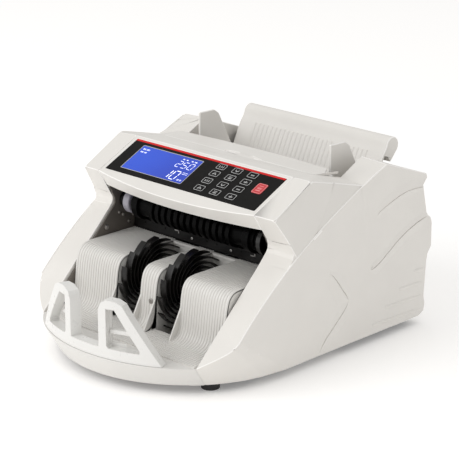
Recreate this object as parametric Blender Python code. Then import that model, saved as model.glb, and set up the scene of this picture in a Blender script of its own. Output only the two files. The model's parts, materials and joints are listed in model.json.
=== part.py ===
"""Banknote counting machine, modelled piece by piece.

Frame: metres in the scene, +Z up, +X to the right for someone facing the front,
and the front (the stacker) faces -Y.  The origin is the bottom centre of the
machine, on the surface it stands on.  Every number below is in millimetres and
is scaled by MM when a mesh is written.
"""
import math

import bmesh
import bpy
from mathutils import Matrix, Vector

MM = 0.001
GAP = 0.3                     # clearance between touching pieces
SKIN = 2.5                    # wall of the plastic mouldings

# ---- overall body ----------------------------------------------------------
CENTRE_Y = 2.4                # the drawing's zero lies this far in front of the middle
HALF_W = 141.2                # the ridges, the widest part of the body
BASE_HALF = 132.5             # bottom edge of the side covers
SEAM_X = 109.3                # side covers run from here outwards
FLARE_H = 176.0               # height over which the rear edge flares by the same amount
FLOOR_Z = 9.0                 # bottom edge of the housing, above the feet
LIP_Z = 31.7                  # top of the curved front lip
BASE_ARC = (0.0, -39.5, 132.5)        # plan circle of the bottom edge: x, y, radius
LIP_ARC = (-66.0, 140.0, 117.0)       # plan ellipse of the lip's top: y, half axes
TOE_X = 104.5                 # where the lip's seam meets the bottom edge

# ---- side covers: outer points (x, y, z), inner and rear points (y, z) ------
BROW_OUT = (132.6, -57.1, 164.1)
NECK_OUT = (135.4, -51.5, 154.4)
WAIST_OUT = [(137.6, -42.5, 141.0), (138.2, -39.6, 136.3), (138.7, -37.6, 131.2),
             (139.0, -37.0, 127.2), (139.6, -38.4, 123.3), (140.3, -42.1, 119.2),
             (140.8, -47.1, 115.0)]
WAIST_IN = (-38.1, 129.6)             # corner that the rounded waist cuts off
WAIST_CUT = 9.0                       # how far the rounding reaches
CREST_OUT = (132.4, -6.2, 192.0)
CREST_Y = -5.0
HEAD_REAR_OUT = (133.4, 26.7, 183.7)
VALLEY_OUT = (140.4, 58.1, 176.1)
HEAD_REAR_IN = (26.5, 187.0)
VALLEY_IN = (64.0, 176.5)
CHEEK_OUT = (96.6, 189.7)
CHEEK_IN = (95.0, 191.6)
RIDGE = ((93.6, 188.2), (-36.7, 137.4), (-112.3, 59.5))    # Bezier, rear to front
TOE_CURVE = [(138.6, -117.2, 53.2), (134.8, -121.2, 49.3),
             (129.4, -126.4, 44.9), (123.6, -130.9, 40.9), (117.0, -135.0, 36.7),
             (109.3, -139.1, 31.7)]
REAR_PROFILE = [(161.6, 166.2), (163.5, 161.5), (157.8, 154.6), (167.3, 121.2),
                (173.7, 116.8), (176.5, 110.6), (178.2, 84.0), (173.3, 76.6),
                (172.2, 69.2), (171.8, 29.8), (174.4, 22.5), (173.6, 13.1), (166.0, 9.0)]

# ---- head: control panel plane ---------------------------------------------
PANEL_LOW = (-54.6, 167.7)            # (y, z) of the overlay's lower edge
PANEL_TILT = math.radians(25.25)
PANEL_HALF = 104.0
PANEL_RISE = 50.6
OVERLAY_T = 1.0
LCD_X = (-88.0, -2.0)
LCD_UP = (6.8, 44.0)
KEY_X = (23.4, 44.6, 65.7)
KEY_UP = (43.3, 32.2, 20.6, 8.8)
KEY_SIZE = (12.6, 8.8)
START_KEY = (86.7, 29.0)
START_SIZE = (12.6, 14.6)

# ---- note path ---------------------------------------------------------------
PLATE_X = 107.2               # inner face of each steel side plate
PLATE_T = 1.5
STACKER_AXIS = (-52.5, 62.5)
IMPELLER_R = 44.0
IMPELLER_X = {"impeller_right": (12.5, 21.5), "impeller_left": (-43.5, -34.5)}
FINGERS = 16
FINGER_SWEEP = 2.9            # radians from root to tip
EXIT_AXIS = (-25.5, 128.0)
EXIT_R = 15.5
PINCH_AXIS = (3.2, 121.0)
PINCH_R = 13.0
FEED_AXIS = (48.0, 131.0)
FEED_R = 20.0
PICKUP_AXIS = (98.0, 135.3)
PICKUP_R = 14.0
MOTOR_AXIS = (86.0, 52.0)
MOTOR_R = 24.0
SHAFT_R = 4.0

# ---- stacker bed -------------------------------------------------------------
BED_X = 106.9
BED_TOP = 94.6
BED_REAR = -13.6
SLOT_X = (11.0, 45.0)
BED_PROFILE = [(-84.0, 94.6), (-90.5, 89.5), (-93.8, 80.0), (-96.0, 65.0), (-98.5, 47.0),
               (-103.0, 38.5), (-111.5, 34.6)]

# ---- back --------------------------------------------------------------------
BACK_Y = 173.2                # the flanges of inlet and switch start here
KNOB_AXIS = (0.0, 136.0)      # x, z

# ---- drive -------------------------------------------------------------------
BELT_T = 1.4
BELT_W = 5.0
TRACKS = (-114.5, -122.5)     # x of the two belt planes, outside the left plate
INNER_TRACK = 94.5            # x of the belt between the feed and exit rollers
MOTOR_PULLEY_R = 10.0
FEED_PULLEY_R = 14.0
LINK_PULLEY_R = (14.0, 12.5)  # feed roller's and exit roller's own pulleys
STACKER_PULLEY_R = 16.0


# ---------------------------------------------------------------- scene helpers
def clear_scene():
    for obj in list(bpy.data.objects):
        bpy.data.objects.remove(obj, do_unlink=True)
    for mesh in list(bpy.data.meshes):
        bpy.data.meshes.remove(mesh)


def material(name, rgb, roughness, metallic=0.0):
    """One Principled material per finish, made on first use."""
    found = bpy.data.materials.get(name)
    if found:
        return found
    mat = bpy.data.materials.new(name)
    mat.use_nodes = True
    shader = mat.node_tree.nodes["Principled BSDF"]
    shader.inputs["Base Color"].default_value = (*rgb, 1.0)
    shader.inputs["Roughness"].default_value = roughness
    shader.inputs["Metallic"].default_value = metallic
    return mat


def add_object(name, bm, finish, origin=(0.0, 0.0, 0.0)):
    """Write a bmesh (in mm) as an object whose origin sits at `origin` (mm)."""
    bmesh.ops.recalc_face_normals(bm, faces=bm.faces)
    shift = Matrix.Translation(-Vector(origin))
    place = Vector(origin) + Vector((0.0, CENTRE_Y, 0.0))
    bmesh.ops.transform(bm, matrix=Matrix.Scale(MM, 4) @ shift, verts=bm.verts)
    mesh = bpy.data.meshes.new(name)
    bm.to_mesh(mesh)
    bm.free()
    obj = bpy.data.objects.new(name, mesh)
    obj.location = place * MM
    bpy.context.scene.collection.objects.link(obj)
    if finish:
        mesh.materials.append(FINISHES[finish]())
    return obj


def helper(obj):
    """A cutter or a second operand: it isn't a piece of the machine."""
    obj.hide_render = True
    obj.display_type = "WIRE"
    return obj


def boolean(obj, other, operation):
    mod = obj.modifiers.new(operation.title(), "BOOLEAN")
    mod.operation = operation
    mod.solver = "EXACT"
    mod.object = helper(other)
    return obj


def cut(obj, *others):
    for other in others:
        boolean(obj, other, "DIFFERENCE")
    return obj


def fuse(obj, *others):
    for other in others:
        boolean(obj, other, "UNION")
    return obj


def smooth(obj, angle=35.0):
    obj.data.shade_smooth()
    obj.data.set_sharp_from_angle(angle=math.radians(angle))
    return obj


# ---------------------------------------------------------------- shape helpers
AXES = {"X": (1, 2, 0), "Y": (0, 2, 1), "Z": (0, 1, 2)}


def prism_mesh(outline, low, high, axis):
    """Extrude a closed outline along one axis.  The outline's two numbers are
    the other two coordinates in X, Y, Z order."""
    first, second, along = AXES[axis]
    bm = bmesh.new()
    rings = []
    for level in (low, high):
        ring = []
        for a, b in outline:
            co = [0.0, 0.0, 0.0]
            co[first], co[second], co[along] = a, b, level
            ring.append(bm.verts.new(co))
        rings.append(ring)
    count = len(outline)
    for i in range(count):
        j = (i + 1) % count
        bm.faces.new((rings[0][i], rings[0][j], rings[1][j], rings[1][i]))
    bm.faces.new(rings[0])
    bm.faces.new(rings[1])
    return bm


def prism(name, outline, low, high, axis, finish=None, origin=(0, 0, 0)):
    return add_object(name, prism_mesh(outline, low, high, axis), finish, origin)


def box(name, low, high, finish=None, origin=(0, 0, 0)):
    outline = [(low[0], low[1]), (high[0], low[1]), (high[0], high[1]), (low[0], high[1])]
    return prism(name, outline, low[2], high[2], "Z", finish, origin)


def circle(cx, cy, radius, segments, start=0.0):
    step = 2.0 * math.pi / segments
    return [(cx + radius * math.cos(start + step * i), cy + radius * math.sin(start + step * i))
            for i in range(segments)]


def arc(cx, cy, radius, start, end, segments):
    """Points from angle start to end, in degrees, both ends included."""
    points = []
    for i in range(segments + 1):
        angle = math.radians(start + (end - start) * i / segments)
        points.append((cx + radius * math.cos(angle), cy + radius * math.sin(angle)))
    return points


def rounded_rect(cx, cy, width, height, radius, segments=3):
    points = []
    corners = ((1, 1, 0), (-1, 1, 90), (-1, -1, 180), (1, -1, 270))
    for sx, sy, start in corners:
        x = cx + sx * (width / 2 - radius)
        y = cy + sy * (height / 2 - radius)
        points += arc(x, y, radius, start, start + 90, segments)
    return points


def turned(name, profile, axis, finish, segments=20, origin_x=0.0):
    """A body of revolution about the X-parallel line through axis = (y, z).
    The profile lists (x, radius); its ends close with flat discs."""
    bm = bmesh.new()
    rings = []
    for x, radius in profile:
        ring = [bm.verts.new((x, y, z)) for y, z in circle(*axis, radius, segments)]
        rings.append(ring)
    for a, b in zip(rings, rings[1:]):
        for i in range(segments):
            j = (i + 1) % segments
            bm.faces.new((a[i], a[j], b[j], b[i]))
    bm.faces.new(rings[0])
    bm.faces.new(rings[-1])
    return smooth(add_object(name, bm, finish, (origin_x, *axis)))


def mirrored(points):
    return [(-x, y) for x, y in reversed(points)]


class Skin:
    """Collects faces from points; equal points are shared."""

    def __init__(self):
        self.bm = bmesh.new()
        self.index = {}

    def vert(self, point):
        key = tuple(round(c, 3) for c in point)
        if key not in self.index:
            self.index[key] = self.bm.verts.new(key)
        return self.index[key]

    def face(self, points):
        verts = []
        for point in points:
            vert = self.vert(point)
            if vert not in verts:
                verts.append(vert)
        if len(verts) > 2:
            self.bm.faces.new(verts)

    def strip(self, left, right):
        for i in range(len(left) - 1):
            self.face((left[i], left[i + 1], right[i + 1], right[i]))

    def grid(self, rows):
        for a, b in zip(rows, rows[1:]):
            self.strip(a, b)


# ---------------------------------------------------------------- body geometry
def ridge(t):
    """The raised edge that runs down each side, t = 0 at the rear, 1 in front."""
    (y0, z0), (y1, z1), (y2, z2) = RIDGE
    a, b, c = (1 - t) ** 2, 2 * t * (1 - t), t * t
    return (a * y0 + b * y1 + c * y2, a * z0 + b * z1 + c * z2)


def ridge_t(y):
    """The ridge parameter at depth y, by bisection."""
    low, high = 0.0, 1.0
    for _ in range(40):
        middle = (low + high) / 2
        if ridge(middle)[0] > y:
            low = middle
        else:
            high = middle
    return (low + high) / 2


def ridge_points(y_from, y_to, steps):
    t0, t1 = ridge_t(y_from), ridge_t(y_to)
    return [ridge(t0 + (t1 - t0) * i / steps) for i in range(steps + 1)]


def lip_y(x):
    centre, half_x, half_y = LIP_ARC
    return centre - half_y * math.sqrt(1 - (x / half_x) ** 2)


def base_y(x):
    cx, cy, radius = BASE_ARC
    return cy - math.sqrt(max(radius ** 2 - (x - cx) ** 2, 0.0))


def toe_base(steps):
    """The bottom edge below the toe's curve, point for point."""
    points = []
    for i in range(steps + 1):
        x = BASE_HALF - (BASE_HALF - TOE_X) * math.sin(i / steps * math.pi / 2) ** 1.6
        points.append((x, base_y(x), FLOOR_Z))
    return points


def column(top, bottom, heights):
    """Points down a straight line, spaced in proportion to `heights`."""
    high, low = heights[0], heights[-1]
    top, bottom = Vector(top), Vector(bottom)
    return [tuple(bottom.lerp(top, (z - low) / (high - low))) for z in heights]


def soft_corner(a, corner, b, reach, steps):
    """Round a corner with a parabola that starts and ends `reach` from it."""
    a, corner, b = Vector(a), Vector(corner), Vector(b)
    start = corner + (a - corner).normalized() * reach
    end = corner + (b - corner).normalized() * reach
    points = []
    for i in range(steps + 1):
        t = i / steps
        point = start * (1 - t) ** 2 + corner * 2 * t * (1 - t) + end * t * t
        points.append((point.x, point.y))
    return points


def panel_z(y):
    return PANEL_LOW[1] + (y - PANEL_LOW[0]) * math.tan(PANEL_TILT)


def brow_y(x):
    """Front edge of the head's sloping top; it bows forward in the middle."""
    return -69.5 + 9.53 * (x / SEAM_X) ** 2


def lip_edge_y(x):
    """Lower edge of the head's front face."""
    return -61.0 + 12.2 * (x / SEAM_X) ** 2


def at_x(x, points):
    return [(x, y, z) for y, z in points]


def side_cover_solid():
    """Outer form of the right side cover, closed flat at the seam.  It flares from
    its top edges and from its bottom edge out to the ridge."""
    skin = Skin()
    brow_in = (SEAM_X, brow_y(SEAM_X), panel_z(brow_y(SEAM_X)))
    crest_in = (SEAM_X, CREST_Y, panel_z(CREST_Y))
    tip_in = (lip_y(SEAM_X), LIP_Z)
    waist_in = soft_corner(brow_in[1:], WAIST_IN, tip_in, WAIST_CUT, len(WAIST_OUT) - 1)
    waist_in = at_x(SEAM_X, waist_in)
    arm = at_x(HALF_W, ridge_points(-56.0, RIDGE[2][0], 6))
    toe = [arm[-1], *TOE_CURVE]
    arm_out = [WAIST_OUT[-1], *arm, *TOE_CURVE]
    start, end = Vector(waist_in[-1]), Vector(toe[-1])
    count = len(arm_out)
    arm_in = [tuple(start.lerp(end, i / (count - 1))) for i in range(count)]
    skin.strip(arm_out, arm_in)
    skin.strip(WAIST_OUT, waist_in)
    neck_in = tuple(Vector(brow_in).lerp(Vector(waist_in[0]), 0.42))
    skin.strip([BROW_OUT, NECK_OUT, WAIST_OUT[0]], [brow_in, neck_in, waist_in[0]])
    head_in = [brow_in, crest_in, (SEAM_X, *HEAD_REAR_IN), (SEAM_X, *VALLEY_IN)]
    skin.strip([BROW_OUT, CREST_OUT, HEAD_REAR_OUT, VALLEY_OUT], head_in)

    upper = at_x(HALF_W, ridge_points(VALLEY_OUT[1] - 6.0, -56.0, 9))
    skin.face((VALLEY_OUT, HEAD_REAR_OUT, *upper[2::-1]))
    skin.face((HEAD_REAR_OUT, CREST_OUT, *upper[5:1:-1]))
    skin.face((CREST_OUT, BROW_OUT, NECK_OUT, WAIST_OUT[0], *upper[7:4:-1]))
    skin.face((*WAIST_OUT, *upper[9:6:-1]))

    cheek = at_x(HALF_W, ridge_points(RIDGE[0][0], VALLEY_OUT[1] + 4.0, 4))
    cheek_in = at_x(SEAM_X, [VALLEY_IN, (92.0, 190.5), CHEEK_IN])
    cheek_top = (HALF_W, *CHEEK_OUT)
    skin.face([VALLEY_OUT, *reversed(cheek), cheek_top, cheek_in[1], cheek_in[0]])
    skin.face((cheek_top, cheek_in[1], cheek_in[2]))

    heights = [CHEEK_OUT[1], *[z for _, z in REAR_PROFILE]]
    rear = [cheek_top]
    for y, z in REAR_PROFILE:
        rear.append((BASE_HALF + (HALF_W - BASE_HALF) * (z - FLOOR_Z) / FLARE_H, y, z))
    rear_in = at_x(SEAM_X, [CHEEK_IN, *REAR_PROFILE])
    skin.strip(rear, rear_in)
    base = toe_base(len(TOE_CURVE))
    ridge_line = [*cheek, VALLEY_OUT, *upper, *arm[1:]]
    columns = [rear]
    for i, top in enumerate(ridge_line):
        share = (i + 1) / len(ridge_line)
        foot = Vector(rear[-1]).lerp(Vector(base[0]), share)
        columns.append(column(top, foot, heights))
    skin.grid(columns)
    skin.face([*columns[-1], base[1], toe[1]])
    skin.strip(toe[1:], base[1:])

    heel = (SEAM_X, -60.0, FLOOR_Z)
    skin.face([*[points[-1] for points in columns], *base[1:], heel, rear_in[-1]])
    skin.face((arm_in[-1], base[-1], heel))
    skin.face([*arm_in, heel, *reversed(rear_in), *reversed(cheek_in[:-1]),
               *reversed(head_in[:-1]), neck_in, *waist_in[:-1]])
    return skin.bm


def flip_x(bm, side):
    if side < 0:
        bmesh.ops.scale(bm, vec=(-1, 1, 1), verts=bm.verts)
    return bm


def span(side, near, far):
    """An x range on the right (side 1) or left (side -1)."""
    return (near, far) if side > 0 else (-far, -near)


def make_side_cover(name, side):
    cover = add_object(name, flip_x(side_cover_solid(), side), "housing")
    reach = BASE_HALF - SKIN - 1.2
    arm = [(y, z - 5.0) for y, z in ridge_points(-30.0, -84.0, 3)]
    front = [(-84.0, 5.0), (-30.0, 5.0), *arm]
    main = [(-30.5, 5.0), (163.0, 5.0), (170.0, 14.5), (168.2, 29.0), (168.6, 69.0),
            (169.5, 77.0), (164.0, 118.0), (155.5, 144.0), (66.0, 144.0), (66.0, 169.0),
            (29.0, 179.0), (-4.5, 187.6), (-50.5, 162.6), (-28.0, 133.4), (-25.4, 116.0),
            (-30.5, 110.0)]
    cheek = [(76.0, 130.0), (159.5, 130.0), (153.5, 153.5), (155.0, 161.0), (101.0, 182.0),
             (76.0, 167.0)]
    cutters = [(front, SEAM_X - 10, 121.5), (main, SEAM_X - 10, reach),
               (cheek, SEAM_X + SKIN, reach)]
    for i, (outline, near, far) in enumerate(cutters):
        low, high = span(side, near, far)
        cut(cover, prism(f"{name}_core{i}", outline, low, high, "X"))
    return cover


def panel_frame():
    """World matrix (mm) of the control panel: x across, y up the slope, z out."""
    tilt = Matrix.Rotation(PANEL_TILT, 4, "X")
    return Matrix.Translation((0.0, *PANEL_LOW)) @ tilt


def panel_prism(name, outline, low, high, finish=None, origin_uv=None):
    """Extrude an outline drawn on the panel plane along the panel's normal."""
    bm = prism_mesh(outline, low, high, "Z")
    bmesh.ops.transform(bm, matrix=panel_frame(), verts=bm.verts)
    origin = (0.0, 0.0, 0.0)
    if origin_uv:
        origin = panel_frame() @ Vector((*origin_uv, 0.0))
    return add_object(name, bm, finish, tuple(origin))


def rect(x0, y0, x1, y1):
    return [(x0, y0), (x1, y0), (x1, y1), (x0, y1)]


FLAP_OUTLINE = [(-100.0, 26.5), (-30.0, 26.5), (30.0, 26.5), (108.4, 26.5), (108.4, 42.0),
                (98.0, 56.0), (50.0, 59.5), (0.0, 60.5), (-50.0, 59.5), (-94.0, 56.0),
                (-100.0, 50.0)]


def flap_z(y):
    return 187.0 - (y - 26.5) * 0.065


def make_head_cover():
    columns = [SEAM_X * (i / 5 - 1) * (1 - GAP / SEAM_X) for i in range(11)]
    rows = [[], [], [], [], [], []]
    for x in columns:
        rows[0].append((x, lip_edge_y(x) + 9.0, 147.7))
        rows[1].append((x, lip_edge_y(x), 147.7))
        rows[2].append((x, brow_y(x), panel_z(brow_y(x))))
        rows[3].append((x, CREST_Y, panel_z(CREST_Y)))
        rows[4].append((x, *HEAD_REAR_IN))
        rows[5].append((x, 60.8, 183.5))
    outer = Skin()
    outer.grid(rows)
    inner_rows = []
    for i, row in enumerate(rows):
        down = (0.0, SKIN) if i < 2 else (SKIN * 0.35, -SKIN)
        down = (SKIN, SKIN) if i == 1 else down
        down = (SKIN, -SKIN * 0.6) if i == 2 else down
        down = (0.0, -SKIN) if i > 2 else down
        inner_rows.append([(x, y + down[0], z + down[1]) for x, y, z in row])
    outer.grid(inner_rows)
    for a, b in ((rows[0], inner_rows[0]), (rows[-1], inner_rows[-1])):
        outer.strip(a, b)
    for k in (0, -1):
        outer.strip([row[k] for row in rows], [row[k] for row in inner_rows])
    head = add_object("head_cover", outer.bm, "housing")
    recess = rect(-PANEL_HALF - GAP, -GAP, PANEL_HALF + GAP, PANEL_RISE + GAP)
    cut(head, panel_prism("overlay_recess", recess, -OVERLAY_T - 0.1, 6.0))
    lcd_hole = rect(LCD_X[0] - 1.5, LCD_UP[0] - 1.5, LCD_X[1] + 1.5, LCD_UP[1] + 1.5)
    cut(head, panel_prism("lcd_opening", lcd_hole, -9.0, 6.0))
    key_hole = rect(14.0, 3.0, 95.5, 48.6)
    cut(head, panel_prism("key_opening", key_hole, -9.0, 6.0))
    flap_hole = rect(FLAP_OUTLINE[0][0] - GAP, HEAD_REAR_IN[0] - GAP,
                     FLAP_OUTLINE[3][0] + GAP, 70.0)
    cut(head, prism("flap_opening", flap_hole, 170.0, 200.0, "Z"))
    return head


def make_panel():
    """Overlay with its windows, LCD, keys and the boards behind them."""
    outline = rect(-PANEL_HALF, 0.0, PANEL_HALF, PANEL_RISE)
    overlay = panel_prism("panel_overlay", outline, -OVERLAY_T, 0.0, "overlay")
    lcd_mid = ((LCD_X[0] + LCD_X[1]) / 2, (LCD_UP[0] + LCD_UP[1]) / 2)
    lcd_size = (LCD_X[1] - LCD_X[0], LCD_UP[1] - LCD_UP[0])
    window = rounded_rect(*lcd_mid, *lcd_size, 1.0, 2)
    cut(overlay, panel_prism("lcd_window_hole", window, -4.0, 4.0))
    glass = rounded_rect(*lcd_mid, lcd_size[0] - 2 * GAP, lcd_size[1] - 2 * GAP, 0.9, 2)
    panel_prism("lcd_window", glass, -OVERLAY_T, 0.0, "lens")
    module = rect(LCD_X[0], LCD_UP[0], LCD_X[1], LCD_UP[1])
    panel_prism("lcd_module", module, -6.5, -OVERLAY_T - GAP, "lcd")

    number = 0
    for up in KEY_UP:
        for x in KEY_X:
            number += 1
            add_key(f"key_{number:02d}", overlay, (x, up), KEY_SIZE, "key")
    add_key("start_key", overlay, START_KEY, START_SIZE, "start_key")
    board = rect(13.0, 2.5, 96.0, 49.0)
    panel_prism("key_board", board, -7.6, -6.0, "board")


def add_key(name, overlay, centre, size, finish):
    hole = rounded_rect(*centre, size[0] + 2 * GAP, size[1] + 2 * GAP, 2.0, 2)
    cut(overlay, panel_prism(f"{name}_hole", hole, -4.0, 4.0))
    cap = rounded_rect(*centre, *size, 1.8, 2)
    panel_prism(name, cap, -4.8, 0.2, finish, centre)


def make_flap():
    """Feeder flap: lifts at its front edge about two pins near its rear edge."""
    axis = (55.0, 177.4)
    origin = (0.0, *axis)
    bm = bmesh.new()
    rings = []
    for drop in (0.0, 2.4):
        rings.append([bm.verts.new((x, y, flap_z(y) - drop)) for x, y in FLAP_OUTLINE])
    count = len(FLAP_OUTLINE)
    for i in range(count):
        j = (i + 1) % count
        bm.faces.new((rings[0][i], rings[0][j], rings[1][j], rings[1][i]))
    for ring in rings:
        bm.faces.new(ring)
    flap = add_object("feeder_flap", bm, "housing", origin)
    for side in (-1, 1):
        low, high = span(side, 84.0, 88.0)
        ear = [(46.0, 185.4), (55.4, 184.9), (58.0, 174.8), (51.5, 174.8)]
        fuse(flap, prism(f"flap_ear{side}", ear, low, high, "X"))
        low, high = span(side, 86.0, 106.6)
        fuse(flap, prism(f"flap_pin{side}", circle(*axis, 2.2, 10), low, high, "X"))
    return flap


def make_tray():
    """Hopper floor, note rest and the rolled top edge, one moulding."""
    roll = arc(155.0, 188.8, 9.2, 175.0, -38.0, 9)
    front = [(66.2, 143.0), (124.0, 153.0), (129.2, 158.7), (139.5, 180.3), (143.5, 185.6)]
    back = [(152.0, 171.8), (148.6, 178.0), (142.6, 180.0), (131.6, 156.8), (125.2, 150.4),
            (66.5, 140.4)]
    tray = prism("hopper_tray", front + roll + back, -100.5, 100.5, "X", "housing")
    cut(tray, box("pickup_window", (-32.0, 80.0, 130.0), (32.0, 115.0, 157.0)))
    return tray


def make_guides():
    """Two plates that stand on the hopper floor and slide across it."""
    outline = [(68.0, 205.0), (90.0, 204.4), (96.5, 199.6), (118.0, 158.0), (118.0, 153.0),
               (68.0, 144.4)]
    for name, side in (("note_guide_right", 1), ("note_guide_left", -1)):
        low, high = span(side, 90.0, 92.6)
        origin = (side * 90.0, 90.0, 160.0)
        guide = prism(name, outline, low, high, "X", "housing", origin)
        foot = [(70.0, 147.6), (116.0, 155.5), (116.0, 152.6), (70.0, 144.7)]
        low, high = span(side, 80.0, 91.0)
        fuse(guide, prism(f"{name}_foot", foot, low, high, "X"))


def make_rear_cover():
    """Back wall between the side covers, with openings for inlet and switch."""
    outer = [(143.0, 167.0), *REAR_PROFILE]
    inner = [(163.0, 9.0), (170.3, 14.5), (171.0, 22.3), (168.6, 29.6), (169.0, 69.5),
             (170.2, 77.2), (164.4, 119.0), (154.8, 154.0), (159.6, 160.8), (158.6, 163.4),
             (143.0, 164.2)]
    limit = SEAM_X - GAP
    cover = prism("rear_cover", outer + inner, -limit, limit, "X", "housing")
    cut(cover, box("inlet_hole", (-97.3, 162.0, 30.7), (-68.7, 190.0, 53.3)))
    cut(cover, box("switch_hole", (-57.3, 162.0, 32.7), (-36.7, 190.0, 47.3)))
    cut(cover, prism("knob_hole", circle(0.0, 136.0, 3.4, 12), 150.0, 190.0, "Y"))
    return cover


def plan_front(radius_cut, limit, steps):
    """Points of the bottom circle shrunk by radius_cut, between x = +-limit."""
    cx, cy, radius = BASE_ARC
    radius -= radius_cut
    edge = math.degrees(math.asin(limit / radius))
    return arc(cx, cy, radius, 270.0 - edge, 270.0 + edge, steps)


def make_base_pan():
    toe_x, arm_x, side_x = 101.4, 120.8, 127.6
    side = [(toe_x, -80.0), (arm_x, -80.0), (arm_x, -27.0), (side_x, -27.0), (side_x, 161.5)]
    outline = plan_front(3.2, toe_x, 20) + side + mirrored(side)
    return prism("base_pan", outline, FLOOR_Z + 0.2, FLOOR_Z + 1.7, "Z", "steel")


def lip_loft(shrink, low_z, top_z, rear):
    """Closed block between the bottom circle and the lip ellipse."""
    steps = 16
    loops = []
    for z in (low_z, top_z):
        up = (z - FLOOR_Z) / (LIP_Z - FLOOR_Z)
        limit = TOE_X + (SEAM_X - TOE_X) * up - GAP - shrink
        loop = []
        for i in range(steps + 1):
            x = -limit + 2 * limit * i / steps
            y = base_y(x) + (lip_y(x) - base_y(x)) * up
            loop.append((x, y + shrink, z))
        heel = limit + (SEAM_X - TOE_X) * (1 - up) * 0.25
        loops.append(loop + [(heel, rear, z), (-heel, rear, z)])
    skin = Skin()
    skin.strip(loops[0] + loops[0][:1], loops[1] + loops[1][:1])
    for loop in loops:
        skin.face(loop)
    return skin.bm


def make_bed():
    """Stacker bed: raised block with two slots, floor and curved front lip."""
    bed = add_object("stacker_bed", lip_loft(0.0, FLOOR_Z, LIP_Z, -100.0), "bed")
    front = [(-145.0, LIP_Z - 1.0), (-145.0, LIP_Z + 0.3)]
    block = [*front, *reversed(BED_PROFILE), (BED_REAR, BED_TOP), (BED_REAR, 20.0),
             (-97.0, 20.0)]
    fuse(bed, prism("bed_block", block, -BED_X, BED_X, "X"))
    cut(bed, add_object("lip_core", lip_loft(SKIN, FLOOR_Z - 3, LIP_Z - SKIN, -90.0), None))
    inset = [(y + SKIN, z - SKIN * 0.4) for y, z in BED_PROFILE[2:]]
    core = [(-82.5, BED_TOP - SKIN), (-87.6, 88.2), *inset]
    core += [(-108.0, 5.0), (BED_REAR + 5, 5.0), (BED_REAR + 5, BED_TOP - SKIN)]
    lanes = ((-BED_X + 2, -SLOT_X[1] - 2), (-SLOT_X[0] + 2, SLOT_X[0] - 2),
             (SLOT_X[1] + 2, BED_X - 2))
    for i, (low, high) in enumerate(lanes):
        cut(bed, prism(f"bed_core{i}", core, low, high, "X"))
    under = BED_TOP - SKIN
    slot = [(BED_REAR - 3.4, 120.0), (BED_REAR - 3.4, under), (BED_REAR + 5, under),
            (BED_REAR + 5, 5.0), (-99.0, 5.0), (-99.0, 34.9), (-150.0, 34.9), (-150.0, 120.0)]
    for side in (-1, 1):
        low, high = span(side, *SLOT_X)
        cut(bed, prism(f"bed_slot{side}", slot, low, high, "X"))
    fin = [(-95.7, 67.0), (-93.5, 67.0), (-95.5, 36.0), (-112.5, 33.0), (-112.5, 35.4)]
    for i, near in enumerate((-SLOT_X[1] - 2, -SLOT_X[0], SLOT_X[0] - 2, SLOT_X[1])):
        fuse(bed, prism(f"bed_fin{i}", fin, near, near + 2, "X"))
    shaft_way = circle(*STACKER_AXIS, SHAFT_R + 1.5, 12)
    cut(bed, prism("bed_shaft_way", shaft_way, -BED_X - 5, BED_X + 5, "X"))
    screw_x, screw_y, screw_z = 5.6, -96.6, 62.5
    head = [(screw_y + 8.0, 1.5), (screw_y, 1.5), (screw_y - GAP, 1.5), (screw_y - GAP, 3.0),
            (screw_y - 1.6, 2.6)]
    bore = [(screw_y - 6, 1.9), (screw_y + 6, 1.9)]
    cut(bed, turned_y("screw_hole", (screw_x, screw_z), bore))
    turned_y("bed_screw", (screw_x, screw_z), head, "steel", 12)
    return bed


def make_stop():
    """Stacker stop: a low curved wall on the lip carries two A-shaped frames."""
    foot, wall_h, top, front, depth = LIP_Z + GAP, 10.0, 96.0, 1.5, 11.0
    half, count = 88.0, 22
    stations = [-half + 2 * half * i / count for i in range(count + 1)]
    band = [(x, lip_y(x) + front) for x in stations]
    band += [(x, lip_y(x) + front + depth) for x in reversed(stations)]
    stop = prism("stacker_stop", band, foot, top, "Z", "stop")
    frame = [(-2.0, foot - 4), (-2.0, 80.0), (1.0, 87.0), (8.2, 91.0), (18.4, 91.0),
             (25.5, 88.0), (65.3, foot), (65.3, foot - 4)]
    hole = [(9.0, 79.0), (15.5, 79.0), (37.0, 46.0), (9.0, 46.0)]
    face = box("stop_wall", (-72.0, -220.0, foot - 3), (72.0, -120.0, foot + wall_h))
    for side in (-1, 1):
        fuse(face, a_frame(f"a_frame{side}", frame, side))
    boolean(stop, face, "INTERSECT")
    for side in (-1, 1):
        cut(stop, a_frame(f"a_hole{side}", hole, side))


def a_frame(name, outline, side):
    """Extrude an (along, z) outline square to the chord of one A-frame."""
    a = Vector((22.0, lip_y(22.0) + 1.2))
    b = Vector((86.0, lip_y(86.0) + 1.2))
    along = (b - a).normalized()
    back = Vector((-along.y, along.x))
    bm = bmesh.new()
    rings = []
    for offset in (-15.0, 25.0):
        ring = []
        for s, z in outline:
            plan = a + along * s + back * offset
            ring.append(bm.verts.new((side * plan.x, plan.y, z)))
        rings.append(ring)
    count = len(outline)
    for i in range(count):
        j = (i + 1) % count
        bm.faces.new((rings[0][i], rings[0][j], rings[1][j], rings[1][i]))
    for ring in rings:
        bm.faces.new(ring)
    return add_object(name, bm, None)


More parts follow.
